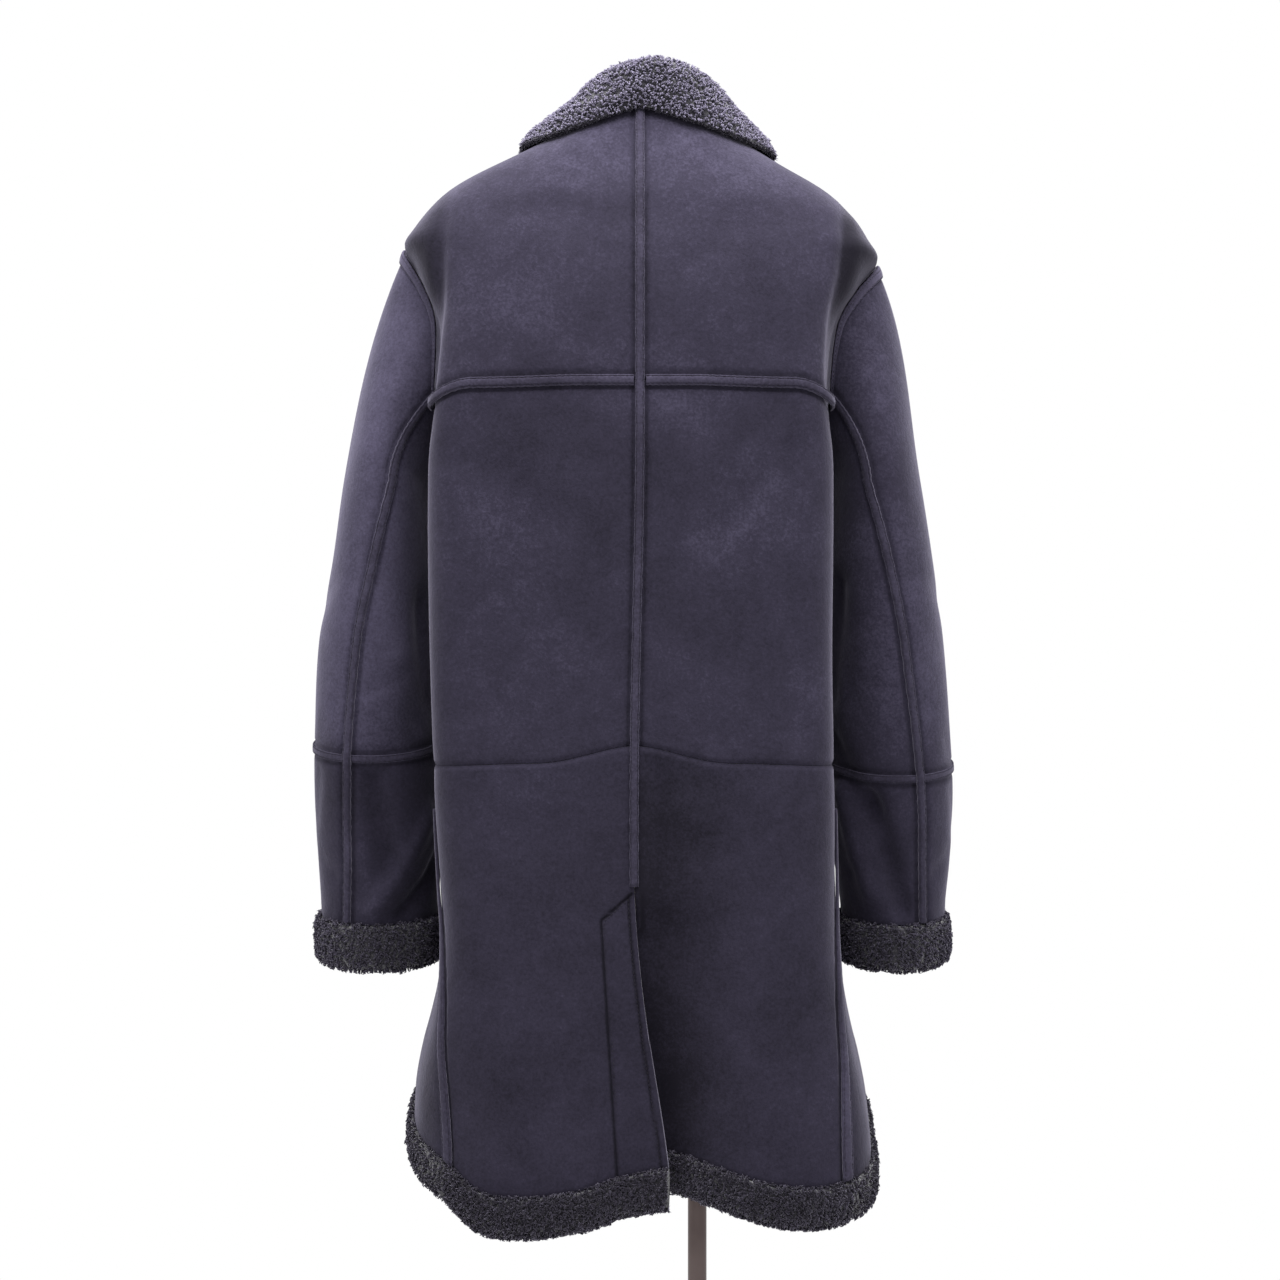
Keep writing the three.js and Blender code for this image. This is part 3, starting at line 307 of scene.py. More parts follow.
def angle_at_depth(y, z):
    n = squareness("right", y < 0, z)
    depth = np.where(y < 0, BODY["back"](z), BODY["front"](z))
    return np.degrees(np.arctan2(BODY["half_width"](z) * (1 - np.abs(y / depth) ** n) ** (1 / n), -y))


def edge_angle(at_back, z):
    """Where the back or the front ends at a level: the armhole's oval, or the side or shoulder seam."""
    middle = (ARMHOLE_TOP + ARMHOLE_BOTTOM) / 2
    up = (z - middle) / (ARMHOLE_TOP - middle)
    half_open = ARMHOLE_HALF * np.sqrt(np.maximum(1 - up * up, 0))
    oval = angle_at_depth(ARMHOLE_Y + (-half_open if at_back else half_open), z)
    return np.where(np.abs(up) >= 1, BODY["side_seam"](z), oval)


def folds(table, side, angle, z, mm_per_degree=1.05, widen=1.0):
    """The sum of a table's soft folds on one side, each a hump across the distance to its line."""
    depth = 0 * angle * z
    for fold_side, a0, z0, a1, z1, deep, reach in table:
        if fold_side == side:
            du, dv = (a1 - a0) * mm_per_degree, z1 - z0
            pu, pv = (angle - a0) * mm_per_degree, z - z0
            t = np.clip((pu * du + pv * dv) / (du * du + dv * dv), 0, 1)
            depth = depth + deep * bump(np.hypot(pu - t * du, pv - t * dv), 0, reach * widen)
    return depth


def tube_point(side, angle, z):
    """The plain sleeve: an ellipse at each level, its back tilted down near the cuff."""
    s = SLEEVE[side]
    a = np.radians(angle)
    fold = folds(SLEEVE_FOLDS, side, np.mod(angle, 360), z)
    outer, inner = s["outer"](z), s["inner"](z)
    x = (outer + inner) / 2 + ((outer - inner) / 2 - fold) * np.cos(a)
    y = s["centre_y"](z) - (s["half_depth"](z) - fold) * np.sin(a)
    tilt = z - 5 * np.sin(a) * smooth(860, CUFF_Z, z)
    return np.stack(np.broadcast_arrays(SIGN[side] * x, y, tilt), -1)


def armhole_point(side, angle):
    a = np.radians(angle)
    centre = (ARMHOLE_TOP + ARMHOLE_BOTTOM) / 2
    z = centre + (ARMHOLE_TOP - centre) * np.cos(a) * 0.9995
    return body_point(side, angle_at_depth(ARMHOLE_Y - ARMHOLE_HALF * np.sin(a), z), z, 0)


def head_point(side, angle, share):
    """The sleeve head: a cubic from the armhole, leaving outwards and down, to the tube, met in line."""
    a = np.radians(angle)
    start, end = armhole_point(side, angle), tube_point(side, angle, HEAD_Z + 0 * angle)
    leave_x = SIGN[side] * (0.62 - 0.3 * np.maximum(np.cos(a), 0) - 0.2 * np.maximum(-np.cos(a), 0))
    leave = unit(np.stack([leave_x, -0.22 * np.sin(a), -0.72 + 0 * a], -1))
    arrive = unit(tube_point(side, angle, HEAD_Z - 4 + 0 * a) - tube_point(side, angle, HEAD_Z + 4 + 0 * a))
    length = np.linalg.norm(end - start, axis=-1, keepdims=True)
    return hermite(start, leave * length, end, arrive * length, share[..., None])


def sleeve_point(side, angle, run):
    """Run 0 to 1 is the sleeve head, 1 to 2 the tube down to the elbow seam, 2 to 3 on to the cuff."""
    angle, run = np.broadcast_arrays(np.asarray(angle, float), np.asarray(run, float))
    elbow = ELBOW_Z[side] - 10 * np.sin(np.radians(angle))
    z = np.where(run <= 2, lerp(HEAD_Z, elbow, run - 1), lerp(elbow, CUFF_Z, run - 2))
    return np.where((run <= 1)[..., None], head_point(side, angle, np.minimum(run, 1)), tube_point(side, angle, z))


def sleeve_normal(side, angle, run):
    run = np.clip(run, 0.03, 2.99)
    along = sleeve_point(side, angle + 2, run) - sleeve_point(side, angle - 2, run)
    down = sleeve_point(side, angle, run + 0.02) - sleeve_point(side, angle, run - 0.02)
    return unit(np.cross(along, down)) * SIGN[side]


def off_sleeve(side, angle, run, out):
    return sleeve_point(side, angle, run) + sleeve_normal(side, angle, run) * np.asarray(out, float)[..., None]


def sleeve_seam(side, run):
    run = np.asarray(run, float)
    tube = seam_angle_at(sleeve_point(side, 80.0, np.maximum(run, 1))[..., 2])
    return np.where(run <= 1, lerp(HEAD_SEAM, seam_angle_at(HEAD_Z), run), tube)


# Meshes from arrays


def put(name, points, faces, materials, index=None, body="root"):
    """A mesh object from points in mm and lists of triangles or quads, turned outwards by its signed volume."""
    faces = [f for f in faces if len(f)]
    volume = 0.0
    for f in faces:
        for k in range(1, f.shape[1] - 1):
            a, b, c = points[f[:, 0]], points[f[:, k]], points[f[:, k + 1]]
            volume += float((a * np.cross(b, c)).sum())
    if volume < 0:
        faces = [f[:, ::-1] for f in faces]
    sizes = np.concatenate([np.full(len(f), f.shape[1]) for f in faces])
    mesh = bpy.data.meshes.new(name)
    mesh.vertices.add(len(points))
    mesh.vertices.foreach_set("co", (points / 1000).astype(np.float32).ravel())
    mesh.loops.add(int(sizes.sum()))
    mesh.loops.foreach_set("vertex_index", np.concatenate([f.ravel() for f in faces]).astype(np.int32))
    mesh.polygons.add(len(sizes))
    mesh.polygons.foreach_set("loop_start", np.concatenate([[0], np.cumsum(sizes)[:-1]]).astype(np.int32))
    for material in materials:
        mesh.materials.append(material)
    if index is not None:
        mesh.polygons.foreach_set("material_index", index.astype(np.int32))
    mesh.polygons.foreach_set("use_smooth", np.ones(len(sizes), bool))
    mesh.update(calc_edges=True)
    piece = bpy.data.objects.new(name, mesh)
    bpy.context.scene.collection.objects.link(piece)
    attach(piece, body)
    return piece


def grid_quads(rows, columns, start=0):
    i, j = np.meshgrid(np.arange(rows - 1), np.arange(columns - 1), indexing="ij")
    a = (start + i * columns + j).ravel()
    return np.stack([a, a + 1, a + columns + 1, a + columns], 1)


def wall(name, outer, inner, materials):
    """A closed wall: an outer grid, an inner grid of the same size turned round, and a rim joining their edges."""
    rows, columns = outer.shape[:2]
    far = rows * columns
    ring = np.concatenate(
        [
            np.arange(columns),
            np.arange(2, rows) * columns - 1,
            far - 1 - np.arange(columns),
            np.arange(rows - 2, 0, -1) * columns,
        ]
    )
    after = np.roll(ring, -1)
    rim = np.stack([ring, ring + far, after + far, after], 1)
    faces = np.concatenate([grid_quads(rows, columns), grid_quads(rows, columns, far)[:, ::-1], rim])
    index = np.zeros(len(faces))
    if len(materials) > 1:
        half = (rows - 1) * (columns - 1)
        index[half : 2 * half] = 1
    return put(name, np.concatenate([outer.reshape(-1, 3), inner.reshape(-1, 3)]), [faces], materials, index)


def tube(name, rings, materials, loop=False):
    """A solid through rings (n, m, 3), each the same loop of points, shut by fans or joined into a loop."""
    n, m = rings.shape[:2]
    i, j = np.meshgrid(np.arange(n if loop else n - 1), np.arange(m), indexing="ij")
    i, j = i.ravel(), j.ravel()
    k, near, far = (j + 1) % m, i * m, ((i + 1) % n) * m
    quads = np.stack([near + j, near + k, far + k, far + j], 1)
    points, fans = rings.reshape(-1, 3), np.zeros((0, 3), int)
    if not loop:
        points = np.concatenate([points, rings[[0, -1]].mean(axis=1)])
        j = np.arange(m)
        k = (j + 1) % m
        first = np.stack([np.full(m, n * m), k, j], 1)
        last = np.stack([np.full(m, n * m + 1), (n - 1) * m + j, (n - 1) * m + k], 1)
        fans = np.concatenate([first, last])
    return put(name, points, [quads, fans], materials)


def joined(*parts):
    """Several (points, faces) pairs as one."""
    points, faces, start = [], [], 0
    for p, f in parts:
        points.append(p)
        faces.append(f + start)
        start += len(p)
    return np.concatenate(points), np.concatenate(faces)


def cloth(piece, grid, held="hung", rests_on=("dress_form",), trims=()):
    list(trims)


# Materials


def colour(code):
    """An sRGB hex colour as linear RGBA."""
    srgb = np.array([int(code[i : i + 2], 16) / 255 for i in (1, 3, 5)])
    linear = np.where(srgb <= 0.04045, srgb / 12.92, ((srgb + 0.055) / 1.055) ** 2.4)
    return (*map(float, linear), 1.0)


def add(tree, kind, links=None, **settings):
    """A node with its settings, each input either linked from an output socket or set to a value."""
    node = tree.nodes.new(kind)
    for key, value in settings.items():
        setattr(node, key, value)
    for socket, source in (links or {}).items():
        if isinstance(source, bpy.types.NodeSocket):
            tree.links.new(source, node.inputs[socket])
        else:
            node.inputs[socket].default_value = source
    return node


def material(name, **values):
    """A new material with its Principled shader's constants set. Returns it, its tree and its shader."""
    m = bpy.data.materials.new(name)
    m.use_nodes = True
    shader = m.node_tree.nodes["Principled BSDF"]
    for key, value in values.items():
        shader.inputs[key.replace("_", " ")].default_value = value
    return m, m.node_tree, shader


def ramp(tree, factor, stops):
    node = add(tree, "ShaderNodeValToRGB", {"Fac": factor})
    band = node.color_ramp
    while len(band.elements) < len(stops):
        band.elements.new(0.5)
    for element, (place, code) in zip(band.elements, stops):
        element.position = place
        element.color = colour(code) if isinstance(code, str) else (code, code, code, 1)
    return node.outputs["Color"]


def suede(name, low, middle, high, fine=1.0):
    """Sueded sheepskin, the flesh side sanded to a short pile: no gloss, a soft pale sheen at grazing angles,
    cloudy patches 30 to 80 mm wide where the pile lies over, 8 mm mottling and a 1 mm grain. A point attribute
    adds painted light and shade: it is 0 on most of the skin, below 0 where shade is painted in and above 0 where light
    is painted in."""
    m, tree, shader = material(
        name,
        Roughness=0.92,
        IOR=1.42,
        Specular_IOR_Level=0.12,
        Sheen_Weight=0.38,
        Sheen_Roughness=0.4,
        Sheen_Tint=colour("#a9a5b8"),
    )
    place = add(tree, "ShaderNodeTexCoord").outputs["Object"]
    # a point attribute of painted light and shade, added to the cloudy patches before the colour ramp
    painted_shading = add(tree, "ShaderNodeAttribute", attribute_name="painted_shading").outputs["Fac"]
    cloud = add(tree, "ShaderNodeTexNoise", {"Vector": place, "Scale": 11, "Detail": 3, "Roughness": 0.5, "Distortion": 0.5})
    mottle = add(tree, "ShaderNodeTexNoise", {"Vector": place, "Scale": 80, "Detail": 5, "Roughness": 0.65, "Distortion": 0.4})
    grain = add(tree, "ShaderNodeTexNoise", {"Vector": place, "Scale": 380, "Detail": 4, "Roughness": 0.75})
    clouds = add(tree, "ShaderNodeMath", {0: cloud.outputs["Fac"], 1: 0.85, 2: painted_shading}, operation="MULTIPLY_ADD")
    both = add(tree, "ShaderNodeMath", {0: mottle.outputs["Fac"], 1: 0.5, 2: clouds.outputs[0]}, operation="MULTIPLY_ADD")
    most = add(tree, "ShaderNodeMath", {0: grain.outputs["Fac"], 1: 1.1, 2: both.outputs[0]}, operation="MULTIPLY_ADD")
    share = add(tree, "ShaderNodeMapRange", {"Value": most.outputs[0], "From Min": 0.53, "From Max": 1.93})
    shades = ramp(tree, share.outputs[0], [(0.0, low), (0.5, middle), (1.0, high)])
    tree.links.new(shades, shader.inputs["Base Color"])
    height = add(tree, "ShaderNodeMath", {0: grain.outputs["Fac"], 1: 0.45, 2: mottle.outputs["Fac"]}, operation="MULTIPLY_ADD")
    relief = add(tree, "ShaderNodeBump", {"Height": height.outputs[0], "Strength": 0.55 * fine, "Distance": 0.0012})
    tree.links.new(relief.outputs["Normal"], shader.inputs["Normal"])
    return m


SUEDE = suede("sueded_sheepskin", "#121018", "#282532", "#454153")
STRIP_SUEDE = suede("sueded_strip", "#131119", "#282531", "#444051", 0.8)


def paint_light_and_shade(piece, painted_shading):
    """Sets the painted light and shade of a wall's points, the same on its outer and inner face."""
    values = np.tile(painted_shading.ravel(), 2).astype(np.float32)
    piece.data.attributes.new("painted_shading", "FLOAT", "POINT").data.foreach_set("value", values)


def wool(name, root, middle, tip):
    """Lambswool pile: dull fibres, dark down in the pile, paler at the tips, each lock its own shade, which also
    carries the painted light or shade of its piece.
    """
    m, tree, shader = material(
        name,
        Roughness=0.85,
        Specular_IOR_Level=0.2,
        Sheen_Weight=0.5,
        Sheen_Roughness=0.4,
        Sheen_Tint=colour("#b4afc2"),
    )
    along = add(tree, "ShaderNodeAttribute", attribute_name="along").outputs["Fac"]
    # the shade attribute: each lock's random tone plus its piece's painted light or shade
    shade = add(tree, "ShaderNodeAttribute", attribute_name="shade").outputs["Fac"]
    share = add(tree, "ShaderNodeMath", {0: along, 1: 0.5, 2: shade}, operation="MULTIPLY_ADD")
    tree.links.new(ramp(tree, share.outputs[0], [(0.0, root), (0.5, middle), (1.0, tip)]), shader.inputs["Base Color"])
    return m


WOOL = wool("lambswool_pile", "#17141c", "#35313f", "#6e697c")


def fleece():
    """The clipped wool on the inside of each panel: a dense pile in 4 mm tufts."""
    m, tree, shader = material("clipped_fleece", Roughness=0.95, Specular_IOR_Level=0.1, Sheen_Weight=0.4)
    place = add(tree, "ShaderNodeTexCoord").outputs["Object"]
    tufts = add(tree, "ShaderNodeTexVoronoi", {"Vector": place, "Scale": 230, "Randomness": 1.0})
    curls = add(tree, "ShaderNodeTexNoise", {"Vector": place, "Scale": 520, "Detail": 4, "Roughness": 0.7})
    height = add(tree, "ShaderNodeMath", {0: tufts.outputs["Distance"], 1: -1.4, 2: curls.outputs["Fac"]}, operation="MULTIPLY_ADD")
    # the colour follows the tufts' height: painted shade down between the tufts
    tree.links.new(ramp(tree, height.outputs[0], [(0.0, "#1c1923"), (0.6, "#3a3645")]), shader.inputs["Base Color"])
    relief = add(tree, "ShaderNodeBump", {"Height": height.outputs[0], "Strength": 0.9, "Distance": 0.003})
    tree.links.new(relief.outputs["Normal"], shader.inputs["Normal"])
    return m


FLEECE = fleece()


def thread():
    """Bonded polyester sewing thread, 0.5 mm thick, twisted and waxed, so it is dull."""
    m, tree, shader = material("sewing_thread", Roughness=0.7, Specular_IOR_Level=0.2)
    place = add(tree, "ShaderNodeTexCoord").outputs["Object"]
    twist = add(tree, "ShaderNodeTexNoise", {"Vector": place, "Scale": 1500, "Detail": 1})
    tree.links.new(ramp(tree, twist.outputs["Fac"], [(0.3, "#121016"), (0.7, "#221f28")]), shader.inputs["Base Color"])
    return m


THREAD = thread()


def resin():
    """Cast polyester resin button, polished, with smoky streaks."""
    m, tree, shader = material("cast_resin", Roughness=0.22, IOR=1.55, Coat_Weight=0.3, Coat_Roughness=0.08)
    place = add(tree, "ShaderNodeTexCoord").outputs["Object"]
    streak = add(tree, "ShaderNodeTexNoise", {"Vector": place, "Scale": 160, "Detail": 3, "Distortion": 2.5})
    tree.links.new(ramp(tree, streak.outputs["Fac"], [(0.35, "#17120f"), (0.75, "#4b3a30")]), shader.inputs["Base Color"])
    return m


def linen():
    """Natural linen stretched over the form, plain weave drawn at 1.6 mm so that it shows."""
    m, tree, shader = material("linen_cover", Roughness=0.9, Specular_IOR_Level=0.15, Sheen_Weight=0.15)
    place = add(tree, "ShaderNodeTexCoord").outputs["Object"]
    warp = add(tree, "ShaderNodeTexWave", {"Vector": place, "Scale": 190, "Distortion": 1.2, "Detail": 2}, bands_direction="X")
    weft = add(tree, "ShaderNodeTexWave", {"Vector": place, "Scale": 190, "Distortion": 1.2, "Detail": 2}, bands_direction="Z")
    cross = add(tree, "ShaderNodeMath", {0: warp.outputs["Fac"], 1: weft.outputs["Fac"]}, operation="MULTIPLY")
    slub = add(tree, "ShaderNodeTexNoise", {"Vector": place, "Scale": 60, "Detail": 4})
    both = add(tree, "ShaderNodeMath", {0: cross.outputs[0], 1: 0.5, 2: slub.outputs["Fac"]}, operation="MULTIPLY_ADD")
    tree.links.new(ramp(tree, both.outputs[0], [(0.2, "#b9b09d"), (1.0, "#e0d8c8")]), shader.inputs["Base Color"])
    relief = add(tree, "ShaderNodeBump", {"Height": cross.outputs[0], "Strength": 0.4, "Distance": 0.0004})
    tree.links.new(relief.outputs["Normal"], shader.inputs["Normal"])
    return m


def beech():
    """Varnished beech: fine straight grain with short dark flecks."""
    m, tree, shader = material("varnished_beech", Roughness=0.35, IOR=1.5, Coat_Weight=0.4, Coat_Roughness=0.15)
    place = add(tree, "ShaderNodeTexCoord").outputs["Object"]
    long_way = add(tree, "ShaderNodeMapping", {"Vector": place, "Scale": (14, 120, 120)})
    grain = add(tree, "ShaderNodeTexNoise", {"Vector": long_way.outputs[0], "Scale": 2.5, "Detail": 5, "Roughness": 0.6})
    tree.links.new(ramp(tree, grain.outputs["Fac"], [(0.3, "#8d6a41"), (0.7, "#c29a68")]), shader.inputs["Base Color"])
    relief = add(tree, "ShaderNodeBump", {"Height": grain.outputs["Fac"], "Strength": 0.15, "Distance": 0.0003})
    tree.links.new(relief.outputs["Normal"], shader.inputs["Normal"])
    return m


def steel():
    """Burnished steel tube and plate: dark, satin, with faint lengthwise brushing and a few rubbed patches."""
    m, tree, shader = material("burnished_steel", Metallic=1.0)
    place = add(tree, "ShaderNodeTexCoord").outputs["Object"]
    long_way = add(tree, "ShaderNodeMapping", {"Vector": place, "Scale": (900, 900, 12)})
    brush = add(tree, "ShaderNodeTexNoise", {"Vector": long_way.outputs[0], "Scale": 1, "Detail": 3})
    patch = add(tree, "ShaderNodeTexNoise", {"Vector": place, "Scale": 9, "Detail": 4})
    tree.links.new(ramp(tree, patch.outputs["Fac"], [(0.3, "#463d3c"), (0.75, "#665b59")]), shader.inputs["Base Color"])
    rough = add(tree, "ShaderNodeMapRange", {"Value": brush.outputs["Fac"], "To Min": 0.28, "To Max": 0.46})
    tree.links.new(rough.outputs[0], shader.inputs["Roughness"])
    relief = add(tree, "ShaderNodeBump", {"Height": brush.outputs["Fac"], "Strength": 0.12, "Distance": 0.0002})
    tree.links.new(relief.outputs["Normal"], shader.inputs["Normal"])
    return m


# Camera, floor and light
scene = bpy.context.scene
camera = bpy.data.objects.new("camera", bpy.data.cameras.new("camera"))
camera.data.lens = 61.875
camera.data.sensor_width = 36
camera.location = (0, -2, 0.96)
camera.rotation_euler = (np.pi / 2, 0, 0)
scene.collection.objects.link(camera)
scene.camera = camera
scene.view_settings.view_transform = "Standard"

world = bpy.data.worlds.new("studio")
scene.world = world
world.use_nodes = True
world.node_tree.nodes["Background"].inputs["Color"].default_value = (1, 1, 1, 1)
world.node_tree.nodes["Background"].inputs["Strength"].default_value = 1.0


def lamp(name, place, aim, size, power, tint="#ffffff"):
    data = bpy.data.lights.new(name, "AREA")
    data.shape = "RECTANGLE"
    data.size, data.size_y = size
    data.energy = power
    data.color = colour(tint)[:3]
    light = bpy.data.objects.new(name, data)
    light.location = place
    way = np.array(aim, float) - np.array(place, float)
    light.rotation_euler = Vector(way).to_track_quat("-Z", "Y").to_euler()
    scene.collection.objects.link(light)


lamp("overhead", (0, -0.55, 2.55), (0, -0.05, 1.2), (1.8, 1.2), 88)
lamp("left_strip", (-1.5, -0.2, 1.5), (0, 0, 1.0), (0.4, 1.6), 5)
lamp("right_strip", (1.5, -0.2, 1.5), (0, 0, 1.0), (0.4, 1.6), 5)


def floor():
    """A round plate of pale floor, flush with the stand's foot."""
    a = np.linspace(0, 2 * np.pi, 97)[:-1]
    rim = np.stack([1150 * np.cos(a), 1150 * np.sin(a), -0.5 + 0 * a], -1)
    points = np.concatenate([rim, rim - [0, 0, 10], [[0, 0, -0.5]], [[0, 0, -10.5]]])
    j = np.arange(96)
    k = (j + 1) % 96
    side = np.stack([j, j + 96, k + 96, k], 1)
    top = np.stack([np.full(96, 192), j, k], 1)
    bottom = np.stack([np.full(96, 193), k + 96, j + 96], 1)
    m, tree, shader = material("pale_floor", Roughness=0.7)
    place = add(tree, "ShaderNodeTexCoord").outputs["Object"]
    dust = add(tree, "ShaderNodeTexNoise", {"Vector": place, "Scale": 3, "Detail": 2})
    tree.links.new(ramp(tree, dust.outputs["Fac"], [(0.0, "#e9e9ea"), (1.0, "#f1f1f1")]), shader.inputs["Base Color"])
    mesh = bpy.data.meshes.new("floor")
    mesh.from_pydata((points / 1000).tolist(), [], side.tolist() + top.tolist() + bottom.tolist())
    mesh.materials.append(m)
    plate = bpy.data.objects.new("floor", mesh)
    scene.collection.objects.link(plate)


floor()

# Panels of the body


def spaced(count, length, edge=(0.0, 0.8, 1.8, 3.2, 4.8, 6.4, 8.4)):
    """Shares from 0 to 1 along a length in mm: even, but close together within 8 mm of either end."""
    near = np.array(edge) / length
    return np.concatenate([near, np.linspace(near[-1], 1 - near[-1], count)[1:-1], 1 - near[::-1]])


CORNER_COLUMNS = np.array([0.08, 0.27, 0.54, 0.75, 0.88, 0.96, 1.03])


def back_columns(z, start, end):
    """Angles across the back for rows of levels z (n, 1), crowded round the corner where the ring is square."""
    corner = np.minimum(np.degrees(np.arctan2(BODY["half_width"](z), BODY["back"](z))), end * 0.93 / 1.03)
    crowded = np.concatenate([start, corner * CORNER_COLUMNS], 1)
    bend = crowded[:, -1:]
    crowded = np.concatenate([crowded, lerp(bend, end, np.array([0.3, 0.65, 1.0]))], 1)
    even = lerp(start, end, np.linspace(0, 1, crowded.shape[1]))
    return lerp(even, crowded, smooth(2.4, 4.2, BODY["back_square"](z)))


def front_columns(z, start, end):
    return lerp(start, end, np.array([0, 0.04, 0.1, 0.2, 0.31, 0.42, 0.53, 0.64, 0.74, 0.84, 0.92, 1.0]))


def between(columns, shares):
    """Columns (n, k) read at shares from 0 to 1 along them, in straight steps."""
    place = shares * (columns.shape[1] - 1)
    i = np.minimum(place.astype(int), columns.shape[1] - 2)
    return columns[:, i] + (columns[:, i + 1] - columns[:, i]) * (place - i)


def yoke_seam(angle):
    return lerp(*YOKE_Z, 0.15 * smooth(20, 46, angle) + 0.85 * smooth(47, 60, angle))


def waist_seam(angle):
    angle = np.abs(angle)
    return lerp(*WAIST_Z, 0.83 * smooth(0, 33, angle) + 0.17 * smooth(33, 60, angle))


def front_end(z):
    return np.where(z < BREAK_Z, 180 + OVERLAP, roll_angle(z))


def panel_places(kind, side, rows, columns):
    """The (angle, z) grids of a panel: rows between its lower and upper seam, columns between its edges."""
    flat = lambda value: lambda angle: value + 0 * angle
    bottom, top, low, high, start, end, spread = {
        "skirt": (
            HEM_Z, WAIST_Z[1], flat(HEM_Z + 0.15), lambda a: waist_seam(a) - 0.15,
            lambda z: vent_angle(side, z), lambda z: edge_angle(True, z), back_columns,
        ),
        "middle": (
            WAIST_Z[1], YOKE_Z[1], lambda a: waist_seam(a) + 0.15, lambda a: yoke_seam(a) - 0.15,
            lambda z: 0 * z, lambda z: edge_angle(True, z), back_columns,
        ),
        "yoke": (
            YOKE_Z[1], NECK_Z, lambda a: yoke_seam(a) + 0.15, flat(NECK_Z),
            lambda z: 0 * z, lambda z: edge_angle(True, z), back_columns,
        ),
        "front": (
            HEM_Z, NECK_Z, flat(HEM_Z + 0.15), flat(NECK_Z),
            lambda z: edge_angle(False, z), front_end, front_columns,
        ),
    }[kind]
    height = (bottom + rows * (top - bottom))[:, None]
    angle = between(spread(height, start(height), end(height)), columns)
    z = lerp(low(angle), high(angle), rows[:, None])
    gap = np.degrees((SEAM_GAP / 2) / (0.8 * BODY["half_width"](z)))
    angle[:, 0] = start(z[:, 0]) + gap[:, 0]
    angle[:, -1] = end(z[:, -1]) - gap[:, -1]
    return angle, z


def edge_distance(grid):
    """How far each point of a grid lies from the nearest of its four edges, along rows and columns, in mm."""
    zero = np.zeros(grid.shape[:2])
    across, down = zero.copy(), zero.copy()
    across[:, 1:] = np.linalg.norm(np.diff(grid, axis=1), axis=-1).cumsum(axis=1)
    down[1:] = np.linalg.norm(np.diff(grid, axis=0), axis=-1).cumsum(axis=0)
    return across, across[:, -1:] - across, down, down[-1:] - down


def seam_relief(grid, turned=(1.3, 1.3, 1.3, 1.3), beside=(0, 0, 0, 0)):
    """What the seams do to a panel, edge by edge (first and last column, first and last row). The edge is turned
    down by turned times exp(-(d / 2.2)^2) with faint puckers, and the skin dips beside the strip that covers the
    seam, by beside times exp(-((d - 5.9) / 1.7)^2), d being the distance from the edge in mm."""
    relief = 0
    for k, distance in enumerate(edge_distance(grid)):
        other = grid[..., 2] if k < 2 else grid[..., 0]
        pucker = 0.22 * np.sin(other / 2.9 + 1.7 * np.sin(other / 23)) * np.exp(-((distance - 6) / 5) ** 2)
        relief = relief - turned[k] * np.exp(-((distance / 2.2) ** 2)) + pucker
        relief = relief - beside[k] * np.exp(-(((distance - 5.9) / 1.7) ** 2))
    return relief


# Creases of the body: side, angle and height of one end and of the other, depth in mm and half width in mm.
BODY_FOLDS = [
    ("left", 20, 560, 24, 800, 2.2, 22),
    ("left", 38, 520, 33, 760, -2.0, 20),
    ("left", 46, 900, 47, 1150, 1.6, 10),
    ("right", 28, 520, 24, 790, 2.4, 18),
    ("right", 40, 560, 42, 840, -1.6, 16),
    ("right", 47, 880, 46, 1120, 1.8, 9),
    ("left", 50, 1120, 30, 1060, 1.4, 14),
    ("right", 52, 1130, 28, 1050, 1.6, 14),
    ("left", 12, 1290, 34, 1330, 1.0, 16),
    ("right", 14, 1280, 40, 1320, 1.2, 16),
    ("right", 6, 540, 7, 850, 4.5, 22),
    ("right", 17, 520, 18, 800, -1.5, 20),
    ("left", 100, 560, 104, 800, 3.0, 30),
    ("right", 98, 560, 102, 820, 3.0, 30),
    ("left", 130, 540, 126, 900, -2.0, 34),
    ("right", 128, 540, 124, 900, -2.0, 34),
    ("left", 150, 1010, 118, 1110, 2.0, 16),
    ("right", 148, 1010, 116, 1110, 2.0, 16),
]


def body_folds(side, angle, z):
    """Soft troughs and ridges of the body, each a hump across the distance to its line, plus a slow waviness."""
    waviness = 0.7 * np.sin(z / 61 + angle / 9) * np.sin(angle / 5.3 + z / 140)
    return -waviness - folds(BODY_FOLDS, side, angle, z, 2.6)


# Where the back folds forward to the sleeve: the middle of the crease at each height, from the coat's middle.
crease_x = {
    "left": curve((1100, 1177, 1219, 1250, 1300, 1345), (-184, -183.5, -179.5, -175, -172.5, -171)),
    "right": curve((1100, 1171, 1237, 1280, 1345), (168, 165.5, 169, 176.5, 180)),
}


def corner_crease(side, places):
    """The upright crease where the back folds forward to the sleeve head: up to 4.5 mm deep and 6 mm to each
    side, fading out at the shoulder seam and at the bottom of the armhole."""
    x, z = places[..., 0], places[..., 2]
    deep = 4.5 * smooth(1105, 1190, z) * smooth(1352, 1310, z) * (places[..., 1] < 20)
    return deep * bump(x, crease_x[side](z), 6.5)


# The line where the vent's facing is sewn to the skirt, from the hem up, then aslant to the top of the vent.
FACING_X, FACING_Z = (-19, -33, -7), (500, 722, 745)


def angle_of(x, z):
    """The angle on the flat back at which a point lies x mm from the coat's middle."""
    return np.degrees(np.arctan2(np.abs(x + 5 * smooth(1150, 820, z)), BODY["back"](z)))


